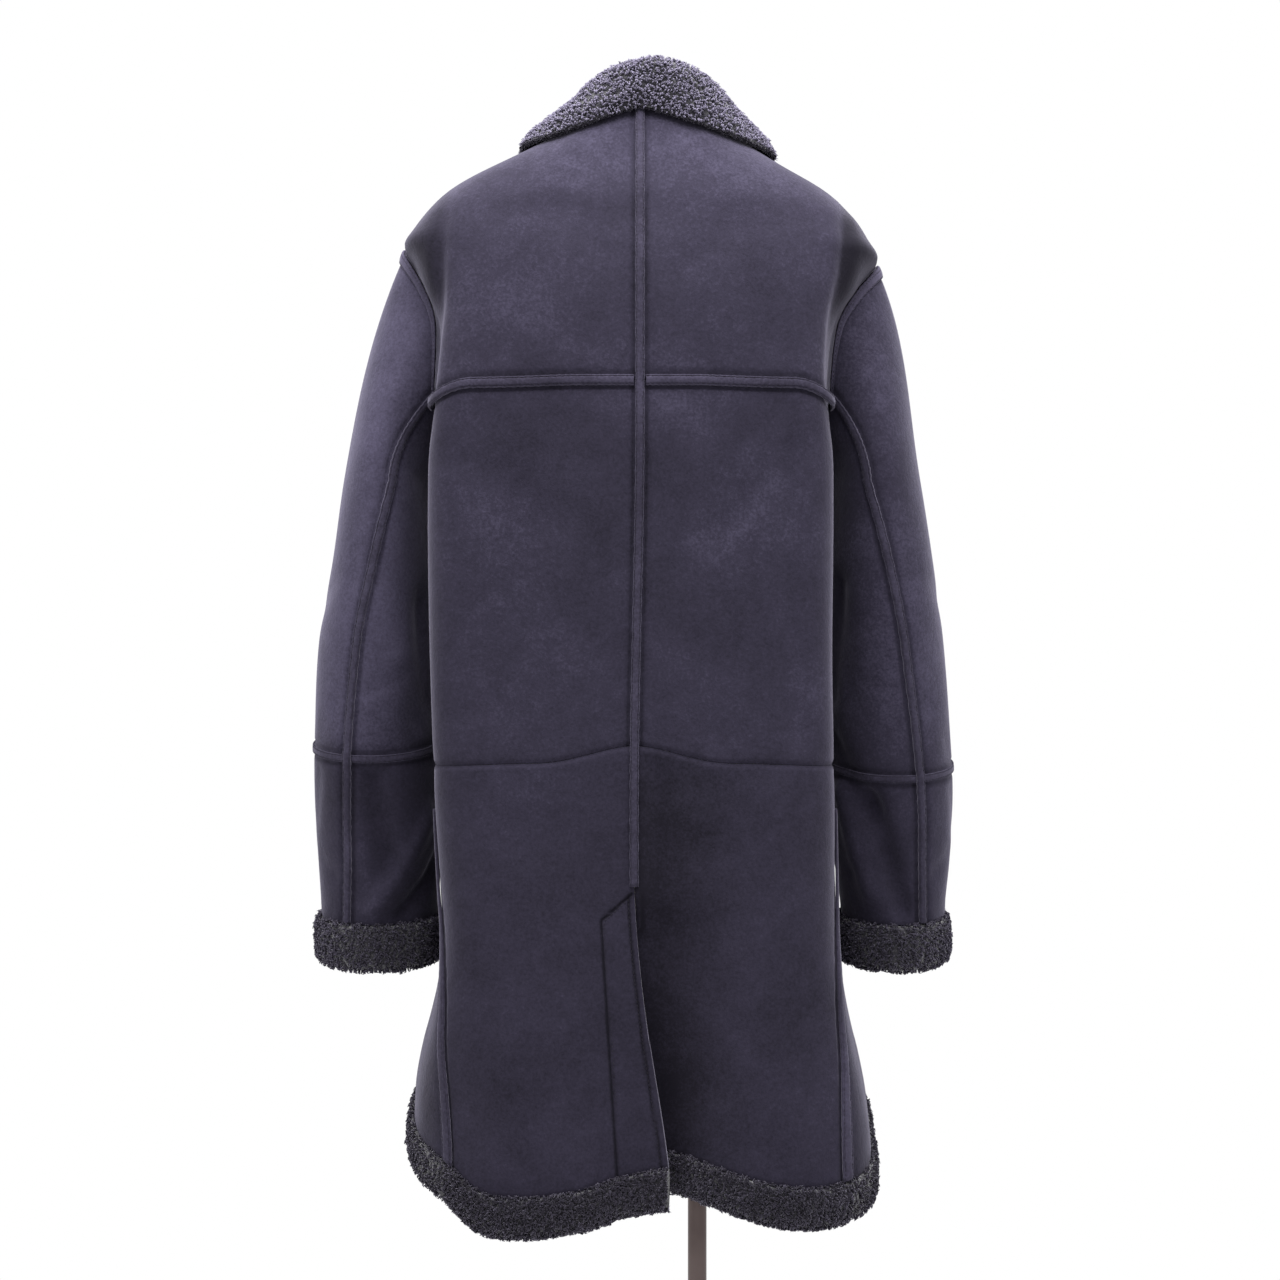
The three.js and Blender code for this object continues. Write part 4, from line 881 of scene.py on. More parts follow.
def from_line(places, xs, zs):
    """The distance in mm, seen square on to the back, from the broken line through (xs, zs)."""
    nearest = np.full(places.shape[:2], 1e3)
    for x0, z0, x1, z1 in zip(xs[:-1], zs[:-1], xs[1:], zs[1:]):
        t = ((places[..., 0] - x0) * (x1 - x0) + (places[..., 2] - z0) * (z1 - z0)) / ((x1 - x0) ** 2 + (z1 - z0) ** 2)
        t = np.clip(t, 0, 1)
        away = np.hypot(places[..., 0] - x0 - t * (x1 - x0), places[..., 2] - z0 - t * (z1 - z0))
        nearest = np.minimum(nearest, away)
    return nearest


def vent_places(angle, z, columns):
    """The left skirt's grid with one column drawn onto the facing's line, and the columns beside it close to it."""
    middle = int(np.argmin(np.abs(columns - 0.17)))
    line = angle_of(np.interp(z[:, 0], FACING_Z[:2], FACING_X[:2]), z[:, 0])
    below = smooth(800, 752, z[:, :1])
    shift = (line - angle[:, middle])[:, None] * below
    far = np.abs(columns - columns[middle])
    reach = np.where(columns < columns[middle], columns[middle], 0.35)
    angle = angle + shift * np.maximum(1 - far / reach, 0)
    for step, mm in ((1, 1.1), (2, 2.4), (3, 4.4)):
        for way in (-1, 1):
            column = middle + way * step
            angle[:, column] = lerp(angle[:, column], angle[:, middle] + way * np.degrees(mm / 137), below[:, 0])
    return angle


def panel_painted_shading(kind, side, places):
    """Painted light and shade on a panel: painted shade below the waist, painted light about the yoke seam and over the
    shoulders' tops, and painted shade under the flap of the vent, on the coat's flanks and past the upright crease.
    """
    x, z = places[..., 0], places[..., 2]
    behind = places[..., 1] < 0
    # painted shade below the waist, painted light about the yoke seam and over the shoulders' tops
    painted_shading = -0.1 - 0.12 * smooth(960, 840, z) + 0.1 * bump(z, 1200, 45) + 0.14 * smooth(1285, 1350, z)
    # painted shade on the underlap beside the vent, under the flap
    if kind == "skirt" and side == "right":
        painted_shading = painted_shading - 0.4 * smooth(905, 800, z) * smooth(95, 20, x)
    # painted shade on the back past the upright crease, and more farther out below the shoulder
    if kind in ("yoke", "middle"):
        outside = np.abs(x) - np.abs(crease_x[side](z))
        dark = {"left": 0.4, "right": 0.75}[side]
        painted_shading = painted_shading - dark * behind * smooth(-6, 4, outside) * smooth(1090, 1160, z)
        painted_shading = painted_shading - 0.3 * behind * smooth(4, 16, outside) * smooth(1320, 1280, z)
    # painted shade on the flanks, lower down
    painted_shading = painted_shading - 0.2 * smooth(168, 188, np.abs(x)) * smooth(1100, 1000, z)
    return painted_shading


def panel(kind, side, count, sizes):
    """A panel's wall: its outer face carries the creases and seam edges, its inner face is plain."""
    rows, columns = spaced(count[0], sizes[0]), spaced(count[1], sizes[1])
    at_vent = kind == "skirt" and side == "left"
    if at_vent:
        rows = np.unique(np.concatenate([rows, (np.arange(718, 752, 1.7) - HEM_Z) / 362]))
        columns = np.unique(np.concatenate([columns, np.linspace(0.055, 0.2, 12)]))
    angle, z = panel_places(kind, side, rows, columns)
    if at_vent:
        angle = vent_places(angle, z, columns)
    plain = body_point(side, angle, z)
    across, back_across, down, up = edge_distance(plain)
    calm = smooth(0, 25, np.minimum(np.minimum(across, back_across), np.minimum(down, up)))
    turned, beside = {
        "skirt": ((0.8, 0.6, 0.6, 1.5), (0, 0.9, 0, 0)),
        "middle": ((1.0, 0.6, 1.5, 1.0), (1.1, 0.3, 0, 1.1)),
        "yoke": ((1.0, 0.7, 1.0, 1.0), (1.1, 0.3, 1.1, 0)),
        "front": ((0.6, 0.6, 0.6, 1.0), (0.5, 0, 0, 0)),
    }[kind]
    relief = seam_relief(plain, turned, beside) + calm * body_folds(side, angle, z)
    if kind in ("yoke", "middle"):
        relief = relief - corner_crease(side, plain) * smooth(2, 15, back_across)
    if kind in ("yoke", "front"):
        # the tip of the shoulder runs on into the sleeve
        tip = smooth(165, 205, np.abs(plain[..., 0])) * smooth(1275, 1300, z) * smooth(1385, 1325, z)
        relief = relief - 2.2 * tip * smooth(0, 9, np.minimum(across, back_across))
    if kind == "skirt":
        # the facing stands 0.5 mm proud up to its sewn line, and the flap's edge is rolled 5 mm wide
        below = smooth(748, 738, plain[..., 2])
        relief = relief - 1.3 * below * bump(across, 5.6, 1.3)
        if side == "left":
            relief = relief - 1.7 * bump(from_line(plain, FACING_X, FACING_Z), 0, 1.2)
            line_x = np.interp(plain[..., 2], FACING_Z[:2], FACING_X[:2])
            relief = relief + 0.6 * smooth(0, 4, plain[..., 0] - line_x) * smooth(730, 715, plain[..., 2])
    outer = off_body(side, angle, z, relief)
    inner = off_body(side, angle, z, -SKIN + 0 * z)
    name = f"front_{side}" if kind == "front" else f"back_{kind}_{side}"
    piece = wall(f"suede_{name}", outer, inner, [SUEDE, FLEECE])
    painted_shading = panel_painted_shading(kind, side, plain)
    # painted shade in the dips beside the strips
    for dip, distance in zip(beside, (across, back_across, down, up)):
        painted_shading = painted_shading - 0.3 * dip * bump(distance, 5.7, 1.6)
    # painted shade in the groove of the flap's rolled edge and along the facing's sewn line
    if kind == "skirt":
        painted_shading = painted_shading - 0.5 * below * bump(across, 5.6, 1.5)
        if side == "left":
            painted_shading = painted_shading - 0.6 * bump(from_line(plain, FACING_X, FACING_Z), 0, 1.3)
    paint_light_and_shade(piece, painted_shading)
    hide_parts(name)
    return piece, plain


panels = {}
for side in ("left", "right"):
    panels[f"back_skirt_{side}"] = panel("skirt", side, (56, 44), (360, 190))
    panels[f"back_middle_{side}"] = panel("middle", side, (46, 44), (310, 210))
    panels[f"back_yoke_{side}"] = panel("yoke", side, (50, 48), (260, 230))
    panels[f"front_{side}"] = panel("front", side, (104, 40), (900, 330))

# Sleeves
SLEEVE_GAP_ANGLE = 0.22


def sleeve_angles(half, side, run, shares):
    seam = sleeve_seam(side, run)
    if half == "top":
        return lerp(FRONT_SEAM - 360 + SLEEVE_GAP_ANGLE, seam - SLEEVE_GAP_ANGLE, shares)
    return lerp(seam + SLEEVE_GAP_ANGLE, FRONT_SEAM - SLEEVE_GAP_ANGLE, shares)


# Finer creases of the sleeves, in the same terms as the folds above.
SLEEVE_CREASES = [
    ("left", 92, 842, 106, 756, 3.5, 12),
    ("left", 150, 805, 90, 716, -3.2, 9),
    ("left", 164, 760, 116, 712, 3.5, 8),
    ("left", 150, 1000, 158, 900, 2.5, 9),
    ("right", 164, 872, 112, 806, 1.0, 12),
    ("right", 120, 822, 84, 716, 3.0, 13),
    ("right", 152, 826, 120, 730, -3.2, 10),
    ("right", 150, 1010, 160, 910, 2.5, 9),
    ("left", 70, 1010, 120, 960, 1.6, 10),
    ("left", 60, 905, 130, 930, 1.5, 9),
    ("left", 40, 880, 20, 800, 1.3, 11),
    ("left", 84, 780, 130, 745, 1.8, 7),
    ("left", 30, 760, 75, 735, 1.4, 9),
    ("left", -30, 960, 40, 1010, 1.2, 12),
    ("right", 60, 1020, 125, 975, 1.6, 10),
    ("right", 60, 900, 120, 925, 1.4, 9),
    ("right", 30, 870, 12, 790, 1.3, 11),
    ("right", 100, 770, 140, 750, 1.6, 7),
    ("right", 25, 765, 70, 738, 1.5, 9),
    ("right", -30, 970, 40, 1015, 1.2, 12),
]


def sleeve_creases(side, angle, z):
    waviness = 0.5 * np.sin(z / 37 + angle / 21) * np.sin(angle / 17 + z / 90)
    return -waviness - folds(SLEEVE_CREASES, side, angle, z)


sleeves = {}
for side in ("left", "right"):
    for part, (start, end), count, size in (("upper", (0.008, 1.9994), 84, 470), ("lower", (2.001, 2.999), 42, 160)):
        for half, across in (("top", 54), ("under", 40)):
            run = lerp(start, end, spaced(count, size))[:, None]
            angle = sleeve_angles(half, side, run, spaced(across, 190 if half == "top" else 150))
            run = run + 0 * angle
            plain = sleeve_point(side, angle, run)
            edges = edge_distance(plain)
            calm = smooth(0, 18, np.minimum(np.minimum(edges[0], edges[1]), np.minimum(edges[2], edges[3])))
            seam = 1 if half == "top" else 0
            beside = [0.0, 0.0, 1.0 if part == "lower" else 0.3, 1.0 if part == "upper" else 0.0]
            beside[seam] = 1.1
            turned = (1.0, 1.0, 1.0 if part == "lower" else 0.5, 1.0 if part == "upper" else 0.4)
            relief = seam_relief(plain, turned, beside) + calm * sleeve_creases(side, angle, plain[..., 2]) * smooth(0.6, 1.1, run)
            name = f"sleeve_{half}_{part}_{side}"
            piece = wall(f"suede_{name}", off_sleeve(side, angle, run, relief), off_sleeve(side, angle, run, -SKIN + 0 * run), [SUEDE, FLEECE])
            height = plain[..., 2]
            # Painted light and shade on the sleeves: lighter above the elbow, the left sleeve more, painted shade on
            # the inner back below the head, darker towards the cuff, in the dips beside the strips and in the larger
            # creases.
            painted_shading = (0.36 if side == "left" else 0.12) * smooth(830, 930, height) - 0.1 * bump(angle, 150, 45) * smooth(1240, 1130, height)
            painted_shading = painted_shading - (0.15 if side == "left" else 0.05) * smooth(880, 820, height)
            for dip, distance in zip(beside, edges):
                painted_shading = painted_shading - 0.3 * dip * bump(distance, 5.5, 1.6)
            painted_shading = painted_shading - 0.04 * folds(SLEEVE_CREASES[:8], side, angle, height, widen=1.3)
            paint_light_and_shade(piece, painted_shading)
            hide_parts(name)
            sleeves[name] = (piece, plain)

# Lapped strips and stitches
# Half of a strip's section: share of its width across, and share of its thickness out. The dip is the stitching.
STRIP_SECTION = np.array(
    [
        (-0.5, 0.0), (-0.5, 0.45), (-0.47, 0.8), (-0.42, 0.95), (-0.36, 0.62), (-0.3, 0.95), (-0.2, 1.05), (0.0, 1.1),
        (0.2, 1.05), (0.3, 0.95), (0.36, 0.62), (0.42, 0.95), (0.47, 0.8), (0.5, 0.45), (0.5, 0.0), (0.0, -0.05),
    ]
)
stitch_lines = []


def strip(name, nodes, alongs, place, width=STRIP_WIDTH, thick=STRIP_THICK, stitched=True, loop=False, painted_shading=0.1):
    """The strip's section carried along a line: place(along, mm across, mm out) gives each point."""
    along = alongs[:, None]
    across, out = STRIP_SECTION[:, 0] * width, STRIP_SECTION[:, 1] * thick
    wave = (0 if loop else 0.25) * np.sin(alongs * 97)[:, None]
    rings = place(along + 0 * across, across + wave, 0.35 + out + 0 * along)
    piece = tube(name, rings, [STRIP_SUEDE], loop)
    # painted light on the whole strip, a little by default and more on the armhole strips
    values = np.full(len(piece.data.vertices), painted_shading, np.float32)
    piece.data.attributes.new("painted_shading", "FLOAT", "POINT").data.foreach_set("value", values)
    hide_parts(*nodes)
    if stitched:
        for share in (-0.36, 0.36):
            line = [place(alongs, share * width + 0 * alongs, 0.35 + lift * thick + 0 * alongs) for lift in (0.8, 2.0)]
            stitch_lines.append(line)
    return piece


def centre_place(z, mm, out):
    a = np.degrees(np.abs(mm) / BODY["back"](z))
    sides = [off_body(side, a, np.minimum(z, NECK_Z - 1), out) for side in ("left", "right")]
    return np.where((mm < 0)[..., None], *sides)


strips = {"centre": strip("strip_of_centre_back", ["strip_centre_back"], np.linspace(VENT_Z + 3, NECK_Z - 1, 190), centre_place, width=0.84 * STRIP_WIDTH)}


def along_sleeve(side):
    def place(run, mm, out):
        angle = sleeve_seam(side, run)
        step = sleeve_point(side, angle + 1, run) - sleeve_point(side, angle - 1, run)
        per_degree = np.linalg.norm(step, axis=-1) / 2
        elbow_mm = np.where(run < 2, (2 - run) * 226, (run - 2) * 140)
        over = 0.6 * bump(run, 1.2, 0.3) + 1.2 * bump(elbow_mm, 0, 7)
        return off_sleeve(side, angle + mm / per_degree, run, out + over)

    return place


def elbow_place(side):
    def place(angle, mm, out):
        run = 2 + np.where(mm < 0, mm / 240, mm / 146)
        return off_sleeve(side, angle, run, out - 0.15)

    return place


def armhole_place(side):
    """Along the armhole: a curve through three places, from just on the yoke, over the seam, to 7 mm down the
    sleeve head."""
    middle, half = (ARMHOLE_TOP + ARMHOLE_BOTTOM) / 2, (ARMHOLE_TOP - ARMHOLE_BOTTOM) / 2

    def at(angle, grown):
        a = np.radians(angle)
        on = np.maximum(grown, 0)
        z = middle + (half + on) * np.cos(a)
        body_angle = angle_at_depth(ARMHOLE_Y - (ARMHOLE_HALF + on) * np.sin(a), z)
        run = 0.01 + np.maximum(-grown, 0) / 150
        past = (grown < 0)[..., None]
        place = np.where(past, sleeve_point(side, angle, run), body_point(side, body_angle, z))
        return place, np.where(past, sleeve_normal(side, angle, run), body_normal(side, body_angle, z))

    def place(angle, mm, out):
        angle = angle + 0 * mm
        shift = {"left": -0.6, "right": -1.6}[side] + 0 * angle
        (first, n0), (centre, n1), (last, n2) = (at(angle, shift + step) for step in (4.2, 0.0, -4.2))
        n1 = unit(n0 + n2)
        sunk = np.sum(((first + last) / 2 - centre) * n1, axis=-1, keepdims=True)
        centre = centre + n1 * (0.4 + 0.85 * np.maximum(sunk, 0))
        t = np.clip(mm / 8.4, -0.6, 0.6)[..., None]
        path = centre + t * (last - first) + 2 * t**2 * (first + last - 2 * centre)
        return path + unit(n1 + (n2 - n0) * t) * out[..., None]

    return place


for side in ("left", "right"):
    yoke_edge = edge_angle(True, np.array([float(YOKE_Z[1])]))[0]
    yoke_place = lambda angle, mm, out, side=side: off_body(side, angle, yoke_seam(angle) + mm, out)
    side_place = lambda z, mm, out, side=side: off_body(side, BODY["side_seam"](z) + np.degrees(mm / 190), z, out + 0.3)
    seam = sleeve_seam(side, 0.06)
    whole = [f"strip_sleeve_{part}_{side}" for part in ("upper", "lower")]
    strips[side] = [
        strip(f"strip_of_yoke_{side}", [f"strip_yoke_{side}"], np.linspace(2.3, yoke_edge - 1.5, 90), yoke_place),
        strip(f"strip_of_side_{side}", [f"strip_side_{side}"], np.linspace(HEM_Z + 2, 812, 80), side_place),
        # the armhole strip gets more painted light
        strip(f"strip_of_armhole_{side}", [f"strip_armhole_{side}"], np.linspace(FRONT_SEAM - 345, seam + 3, 120), armhole_place(side), width=8.2, thick=1.7, painted_shading=0.5),
        strip(f"strip_of_sleeve_{side}", whole, np.linspace(0.035, 2.985, 230), along_sleeve(side), width=7.6),
        strip(
            f"strip_of_elbow_{side}", [f"strip_elbow_{side}"], np.linspace(0, 360, 141)[:-1], elbow_place(side),
            width=6.6, thick=1.2, loop=True,
        ),
    ]


def stitch_row(line, lifted, pitch=3.6, length=2.5, radius=0.33):
    """Stitches along a line: small three-sided spindles, one each pitch, lying along the line."""
    step = np.concatenate([[0], np.linalg.norm(np.diff(line, axis=0), axis=-1).cumsum()])
    where = np.arange(pitch / 2, step[-1], pitch)
    read = lambda values, at: np.stack([np.interp(at, step, values[:, k]) for k in range(3)], -1)
    middle, out = read(line, where), unit(read(lifted, where) - read(line, where))
    way = unit(read(line, where + 0.8) - read(line, where - 0.8))
    beside = np.cross(way, out)
    spots = [middle - way * length / 2 - out * 0.3, middle + way * length / 2 - out * 0.3]
    for share in (-0.25, 0.25):
        for turn in range(3):
            a = turn * 2 * np.pi / 3 + np.pi / 2
            spots.append(middle + way * length * share + radius * (np.cos(a) * beside + np.sin(a) * out))
    points = np.stack(spots, 1)
    pattern = []
    for j in range(3):
        k = (j + 1) % 3
        pattern += [(0, 2 + k, 2 + j), (1, 5 + j, 5 + k), (2 + j, 2 + k, 5 + j), (2 + k, 5 + k, 5 + j)]
    faces = (np.arange(len(points)) * 8)[:, None, None] + np.array(pattern)[None]
    return points.reshape(-1, 3), faces.reshape(-1, 3)


# Rows of stitches on the panels themselves, as (x, z) at the vent: the facing's line and the flap's own edge.
facing_z = np.concatenate([np.linspace(506, 720, 60), np.linspace(722, 743, 12)])
facing = np.stack([np.interp(facing_z, FACING_Z, FACING_X) + 2.6, facing_z], 1)
row = [off_body("left", angle_of(facing[:, 0], facing[:, 1]), facing[:, 1], lift + 0 * facing[:, 0]) for lift in (0.0, 1.0)]
stitch_lines.append(row)
edge_z = np.linspace(506, 742, 80)
row = [off_body("left", vent_angle("left", edge_z) + np.degrees(5.5 / BODY["back"](edge_z)), edge_z, lift + 0 * edge_z) for lift in (-0.1, 0.9)]
stitch_lines.append(row)
for side in ("left", "right"):
    lap_z = np.linspace(508, BREAK_Z - 8, 160)
    lap_angle = 180 + OVERLAP - np.degrees(6 / BODY["front"](lap_z))
    stitch_lines.append([off_body(side, lap_angle, lap_z, lift + 0 * lap_z) for lift in (0.0, 1.0)])
points, faces = joined(*[stitch_row(*line) for line in stitch_lines])
stitches = put("seam_stitches", points, [faces], [THREAD])

# Wool


def waves(points, seed, size, count=5):
    """Two smooth fields from -1 to 1: sums of sines along random directions, about size mm from crest to crest."""
    rng = np.random.default_rng(seed)
    fields = []
    for _ in range(2):
        ways = unit(rng.normal(size=(count, 3)))
        lengths = size * rng.uniform(0.7, 1.5, count)
        phases = rng.uniform(0, 6.283, count)
        fields.append(np.sin(points @ (ways * (2 * np.pi / lengths[:, None])).T + phases).sum(1) / np.sqrt(count))
    return fields


def locks(name, grid, normal, seed, count, length=4.2, width=1.75, pale=-0.1, where=None):
    """Short curls of wool on a grid, made paler or darker by pale, which is painted light or shade. Each is a bent,
    three-sided taper that leaves along the normal, turns over sideways at two thirds of its height and hooks back,
    turning with its neighbours so that they gather into knots about 5 mm across."""
    rng = np.random.default_rng(seed)
    fall = unit(np.gradient(grid, axis=1))
    a, b, c, d = grid[:-1, :-1], grid[:-1, 1:], grid[1:, 1:], grid[1:, :-1]
    area = np.linalg.norm(np.cross(c - a, d - b), axis=-1)
    if where is not None:
        area = area * where
    pick = rng.choice(area.size, count, p=area.ravel() / area.sum())
    i, j = np.unravel_index(pick, area.shape)
    u, v = rng.random((2, count, 1))
    read = lambda g: (g[i, j] * (1 - u) + g[i + 1, j] * u) * (1 - v) + (g[i, j + 1] * (1 - u) + g[i + 1, j + 1] * u) * v
    root, out, down = read(grid), unit(read(normal)), unit(read(fall))
    beside = np.cross(out, down)
    knot, tall = waves(root, seed + 1, 5.5)
    wide, slow = waves(root, seed + 2, 22.0)
    turn = 2.4 * knot + 1.2 * wide + rng.normal(0, 0.7, count)
    way = np.cos(turn)[:, None] * down + np.sin(turn)[:, None] * beside
    high = (0.62 + 0.14 * tall + 0.07 * slow + rng.normal(0, 0.06, count))[:, None]
    long = length * rng.uniform(0.8, 1.2, (count, 1))
    middle = root + long * (out * high * 0.85 + way * 0.2)
    tip = root + long * (out * high * 1.02 + way * 0.66 + down * 0.12)
    spots = []
    for centre, ahead, w in ((root - out, out, 1.0), (middle, unit(out + way), 0.85)):
        side_way = unit(np.cross(ahead, way + 0.3 * out))
        other = np.cross(ahead, side_way)
        for spin in (0.0, 2.094, 4.189):
            spots.append(centre + width * w / 2 * (np.cos(spin) * side_way + np.sin(spin) * other))
    points = np.stack([*spots, tip], 1).reshape(-1, 3)
    pattern = [(2, 1, 0)]
    for j in range(3):
        k = (j + 1) % 3
        pattern += [(j, k, 3 + j), (k, 3 + k, 3 + j), (3 + j, 3 + k, 6)]
    faces = ((np.arange(count) * 7)[:, None, None] + np.array(pattern)[None]).reshape(-1, 3)
    piece = put(name, points, [faces], [WOOL])
    # each lock's shade: the painted light or shade of its piece or grid point, plus its own random tone
    paler = read(pale[..., None])[:, 0] if isinstance(pale, np.ndarray) else pale
    shade = paler + np.clip(rng.normal(0, 0.07, count) + 0.06 * tall + 0.03 * slow, -0.2, 0.2)
    for label, values in (("along", np.tile([0, 0, 0, 0.6, 0.6, 0.6, 1.0], count)), ("shade", np.repeat(shade, 7))):
        piece.data.attributes.new(label, "FLOAT", "POINT").data.foreach_set("value", values.astype(np.float32))
    return piece


def closed_curve(points, count):
    """A smooth closed curve through a few points: uniform Catmull-Rom, read at count even places."""
    n = len(points)
    place = np.arange(count) / count * n
    i = place.astype(int)
    t = (place - i)[:, None]
    p0, p1, p2, p3 = (points[(i + k) % n] for k in (-1, 0, 1, 2))
    return 0.5 * (2 * p1 + (p2 - p0) * t + (2 * p0 - 5 * p1 + 4 * p2 - p3) * t**2 + (3 * p1 - p0 - 3 * p2 + p3) * t**3)


# The wool band's section: mm out of the suede's face, and share of the band's height down. The felt under the
# curls stands 2 mm inside the band's full size.
BAND_SECTION = closed_curve(
    np.array([(-1.5, 0.01), (2.6, 0.07), (4.2, 0.42), (2.8, 0.82), (-3.2, 0.95), (-8.6, 0.88), (-10.6, 0.6), (-10.6, 0.2), (-6, 0.01)]), 32
)


def band(foot, normal, height):
    out, down = BAND_SECTION[:, 0], BAND_SECTION[:, 1]
    rings = foot[:, None] + normal[:, None] * out[None, :, None]
    rings[..., 2] -= down * height
    return rings


def band_normals(rings, loop):
    """Outward normals of a band: the section's own turn, checked against its middle."""
    round_way = np.roll(rings, -1, axis=1) - np.roll(rings, 1, axis=1)
    long_way = np.roll(rings, -1, axis=0) - np.roll(rings, 1, axis=0)
    if not loop:
        long_way[0], long_way[-1] = rings[1] - rings[0], rings[-1] - rings[-2]
    normal = unit(np.cross(round_way, long_way))
    away = rings - rings.mean(axis=1, keepdims=True)
    return normal * np.sign((normal * away).sum())


def dressed_band(name, node, foot, normal, height, loop, seed, count):
    rings = band(foot, normal, height)
    felt = tube(f"felt_{name}", rings, [FLEECE], loop)
    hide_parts(node)
    if loop:
        rings = np.concatenate([rings, rings[:1]])
    normals = band_normals(rings, loop)
    if loop:
        normals[0] = normals[-1] = unit(normals[1] + normals[-2])
    round_rings = np.concatenate([rings, rings[:, :1]], 1)
    round_normals = np.concatenate([normals, normals[:, :1]], 1)
    # fewer curls on the side that faces the coat's inside
    facing_out = np.concatenate([BAND_SECTION[:, 0], BAND_SECTION[:1, 0]])
    weight = np.where((facing_out[:-1] + facing_out[1:]) / 2 > -7, 1.0, 0.2)[None, :]
    # painted shade on the hem's and cuffs' curls, more on the hem's
    piles = locks(f"wool_{name}", round_rings, round_normals, seed, count, pale=-0.1 if loop else -0.26, where=weight)
    return felt, piles, rings


bands = {}
for k, side in enumerate(("left", "right")):
    for m, (kind, label) in enumerate((("skirt", "hem_wool_back"), ("front", "hem_wool_front"))):
        angle, z = panel_places(kind, side, np.array([0.0, 1.0]), np.linspace(0, 1, 120 if kind == "front" else 90))
        foot = body_point(side, angle[0], HEM_Z + 0 * angle[0])
        foot[:, 2] -= SEAM_GAP / 2
        normal = body_normal(side, angle[0], HEM_Z + 0 * angle[0])
        count = 5000 if kind == "front" else 6400
        name = f"{label}_{side}"
        bands[name] = dressed_band(name, name, foot, normal, HEM_BAND, False, 40 + 10 * k + m, count)
    angle = np.linspace(0, 360, 101)[:-1]
    foot = sleeve_point(side, angle, 3.0)
    foot[:, 2] -= SEAM_GAP
    normal = sleeve_normal(side, angle, 3.0 + 0 * angle)
    name = f"cuff_wool_{side}"
    bands[name] = dressed_band(name, name, foot, normal, CUFF_BAND, True, 60 + 10 * k, 5800)

# Collar and lapels


def through(stops, count):
    """A smooth curve through stops (k, n, 3) for each of n stations: a Hermite curve on root-chord spacing."""
    gaps = np.sqrt(np.maximum(np.linalg.norm(np.diff(stops, axis=0), axis=-1), 1e-6))
    knots = np.concatenate([np.zeros((1, stops.shape[1])), gaps.cumsum(axis=0)])
    share = np.linspace(0, 1, count)
    slopes = np.zeros_like(stops)
    slopes[1:-1] = (stops[2:] - stops[:-2]) / (knots[2:] - knots[:-2])[..., None]
    slopes[0] = (stops[1] - stops[0]) / gaps[0][:, None]
    slopes[-1] = (stops[-1] - stops[-2]) / gaps[-1][:, None]
    place = share * (len(stops) - 1)
    i = np.minimum(place.astype(int), len(stops) - 2)
    t = (place - i)[:, None, None]
    h = gaps[i][..., None]
    return hermite(stops[i], h * slopes[i], stops[i + 1], h * slopes[i + 1], t)


def neck_place(station):
    z = np.where(station <= 1, NECK_Z, lerp(NECK_Z, COLLAR_END_Z, station - 1))
    return np.where(station <= 1, roll_angle(NECK_Z) * station, roll_angle(z)), z


def collar_path(side, station, count=38):
    """The collar's wool face at each station: up from the neck seam, over the roll and down to its edge."""
    angle, z = neck_place(station)
    low_angle, low_z = COLLAR["edge_angle"](station), COLLAR["edge_z"](station)
    foot, normal = body_point(side, angle, z), body_normal(side, angle, z)
    after = body_point(side, *neck_place(np.minimum(station + 0.02, 2)))
    along = unit(after - body_point(side, *neck_place(np.maximum(station - 0.02, 0))))
    away = unit(np.cross(normal, along) * SIGN[side])
    turn = smooth(0.85, 1.3, station)[:, None]
    level = -unit(normal * [1, 1, 0])
    inwards = unit(lerp(level, away, turn))
    up = unit(lerp(np.array([0, 0, 1.0]) + 0 * normal, normal, turn))
    rise, inset = COLLAR["rise"](station)[:, None], COLLAR["inset"](station)[:, None]
    pile = foot - normal * COLLAR_THICK + away * (SEAM_GAP + 0.3)
    at = lambda in_mm, up_mm: pile + inwards * in_mm + up * up_mm
    lying = lambda share, lift: off_body(
        side, lerp(angle, low_angle, share), lerp(z, low_z, share), COLLAR_THICK + lift + 0 * angle
    )
    edge = lying(1, 1.4)
    fall = at(inset - 21, rise - 6)
    hanging = lambda share: lerp(fall, edge, share) - inwards * 2 + up * 1.5
    stops = [
        pile,
        at(inset * 0.6, rise * 0.3),
        at(inset, rise * 0.72),
        at(inset - 9, rise),
        fall,
        lerp(hanging(0.35), lying(0.45, 4), turn),
        lerp(hanging(0.7), lying(0.74, 2.5), turn),
        edge,
    ]
    path = through(np.stack(stops), count)
    shift = COLLAR_SHIFT + BODY["sway"](z) * np.maximum(np.cos(np.radians(angle)), 0) ** 6
    path[..., 0] += shift * smooth(2, 34, path[..., 2] - foot[:, 2] + COLLAR_THICK)
    return path.transpose(1, 0, 2)


stations = np.linspace(0, 2, 76)
collar_grid = np.concatenate([collar_path("left", stations[1:][::-1]), collar_path("right", stations)])
up_way, long_way = np.gradient(collar_grid, axis=1), np.gradient(collar_grid, axis=0)
collar_in = unit(np.cross(long_way, up_way))
ends = np.minimum(np.arange(len(collar_grid)), np.arange(len(collar_grid))[::-1])[:, None]
to_edge = np.linalg.norm(np.diff(collar_grid[:, ::-1], axis=1), axis=-1).cumsum(axis=1)
to_edge = np.concatenate([0 * to_edge[:, :1], to_edge], 1)[:, ::-1]
bare = ((1.6 + 1.6 * smooth(12, 2, to_edge)) * smooth(0, 5, ends))[..., None]
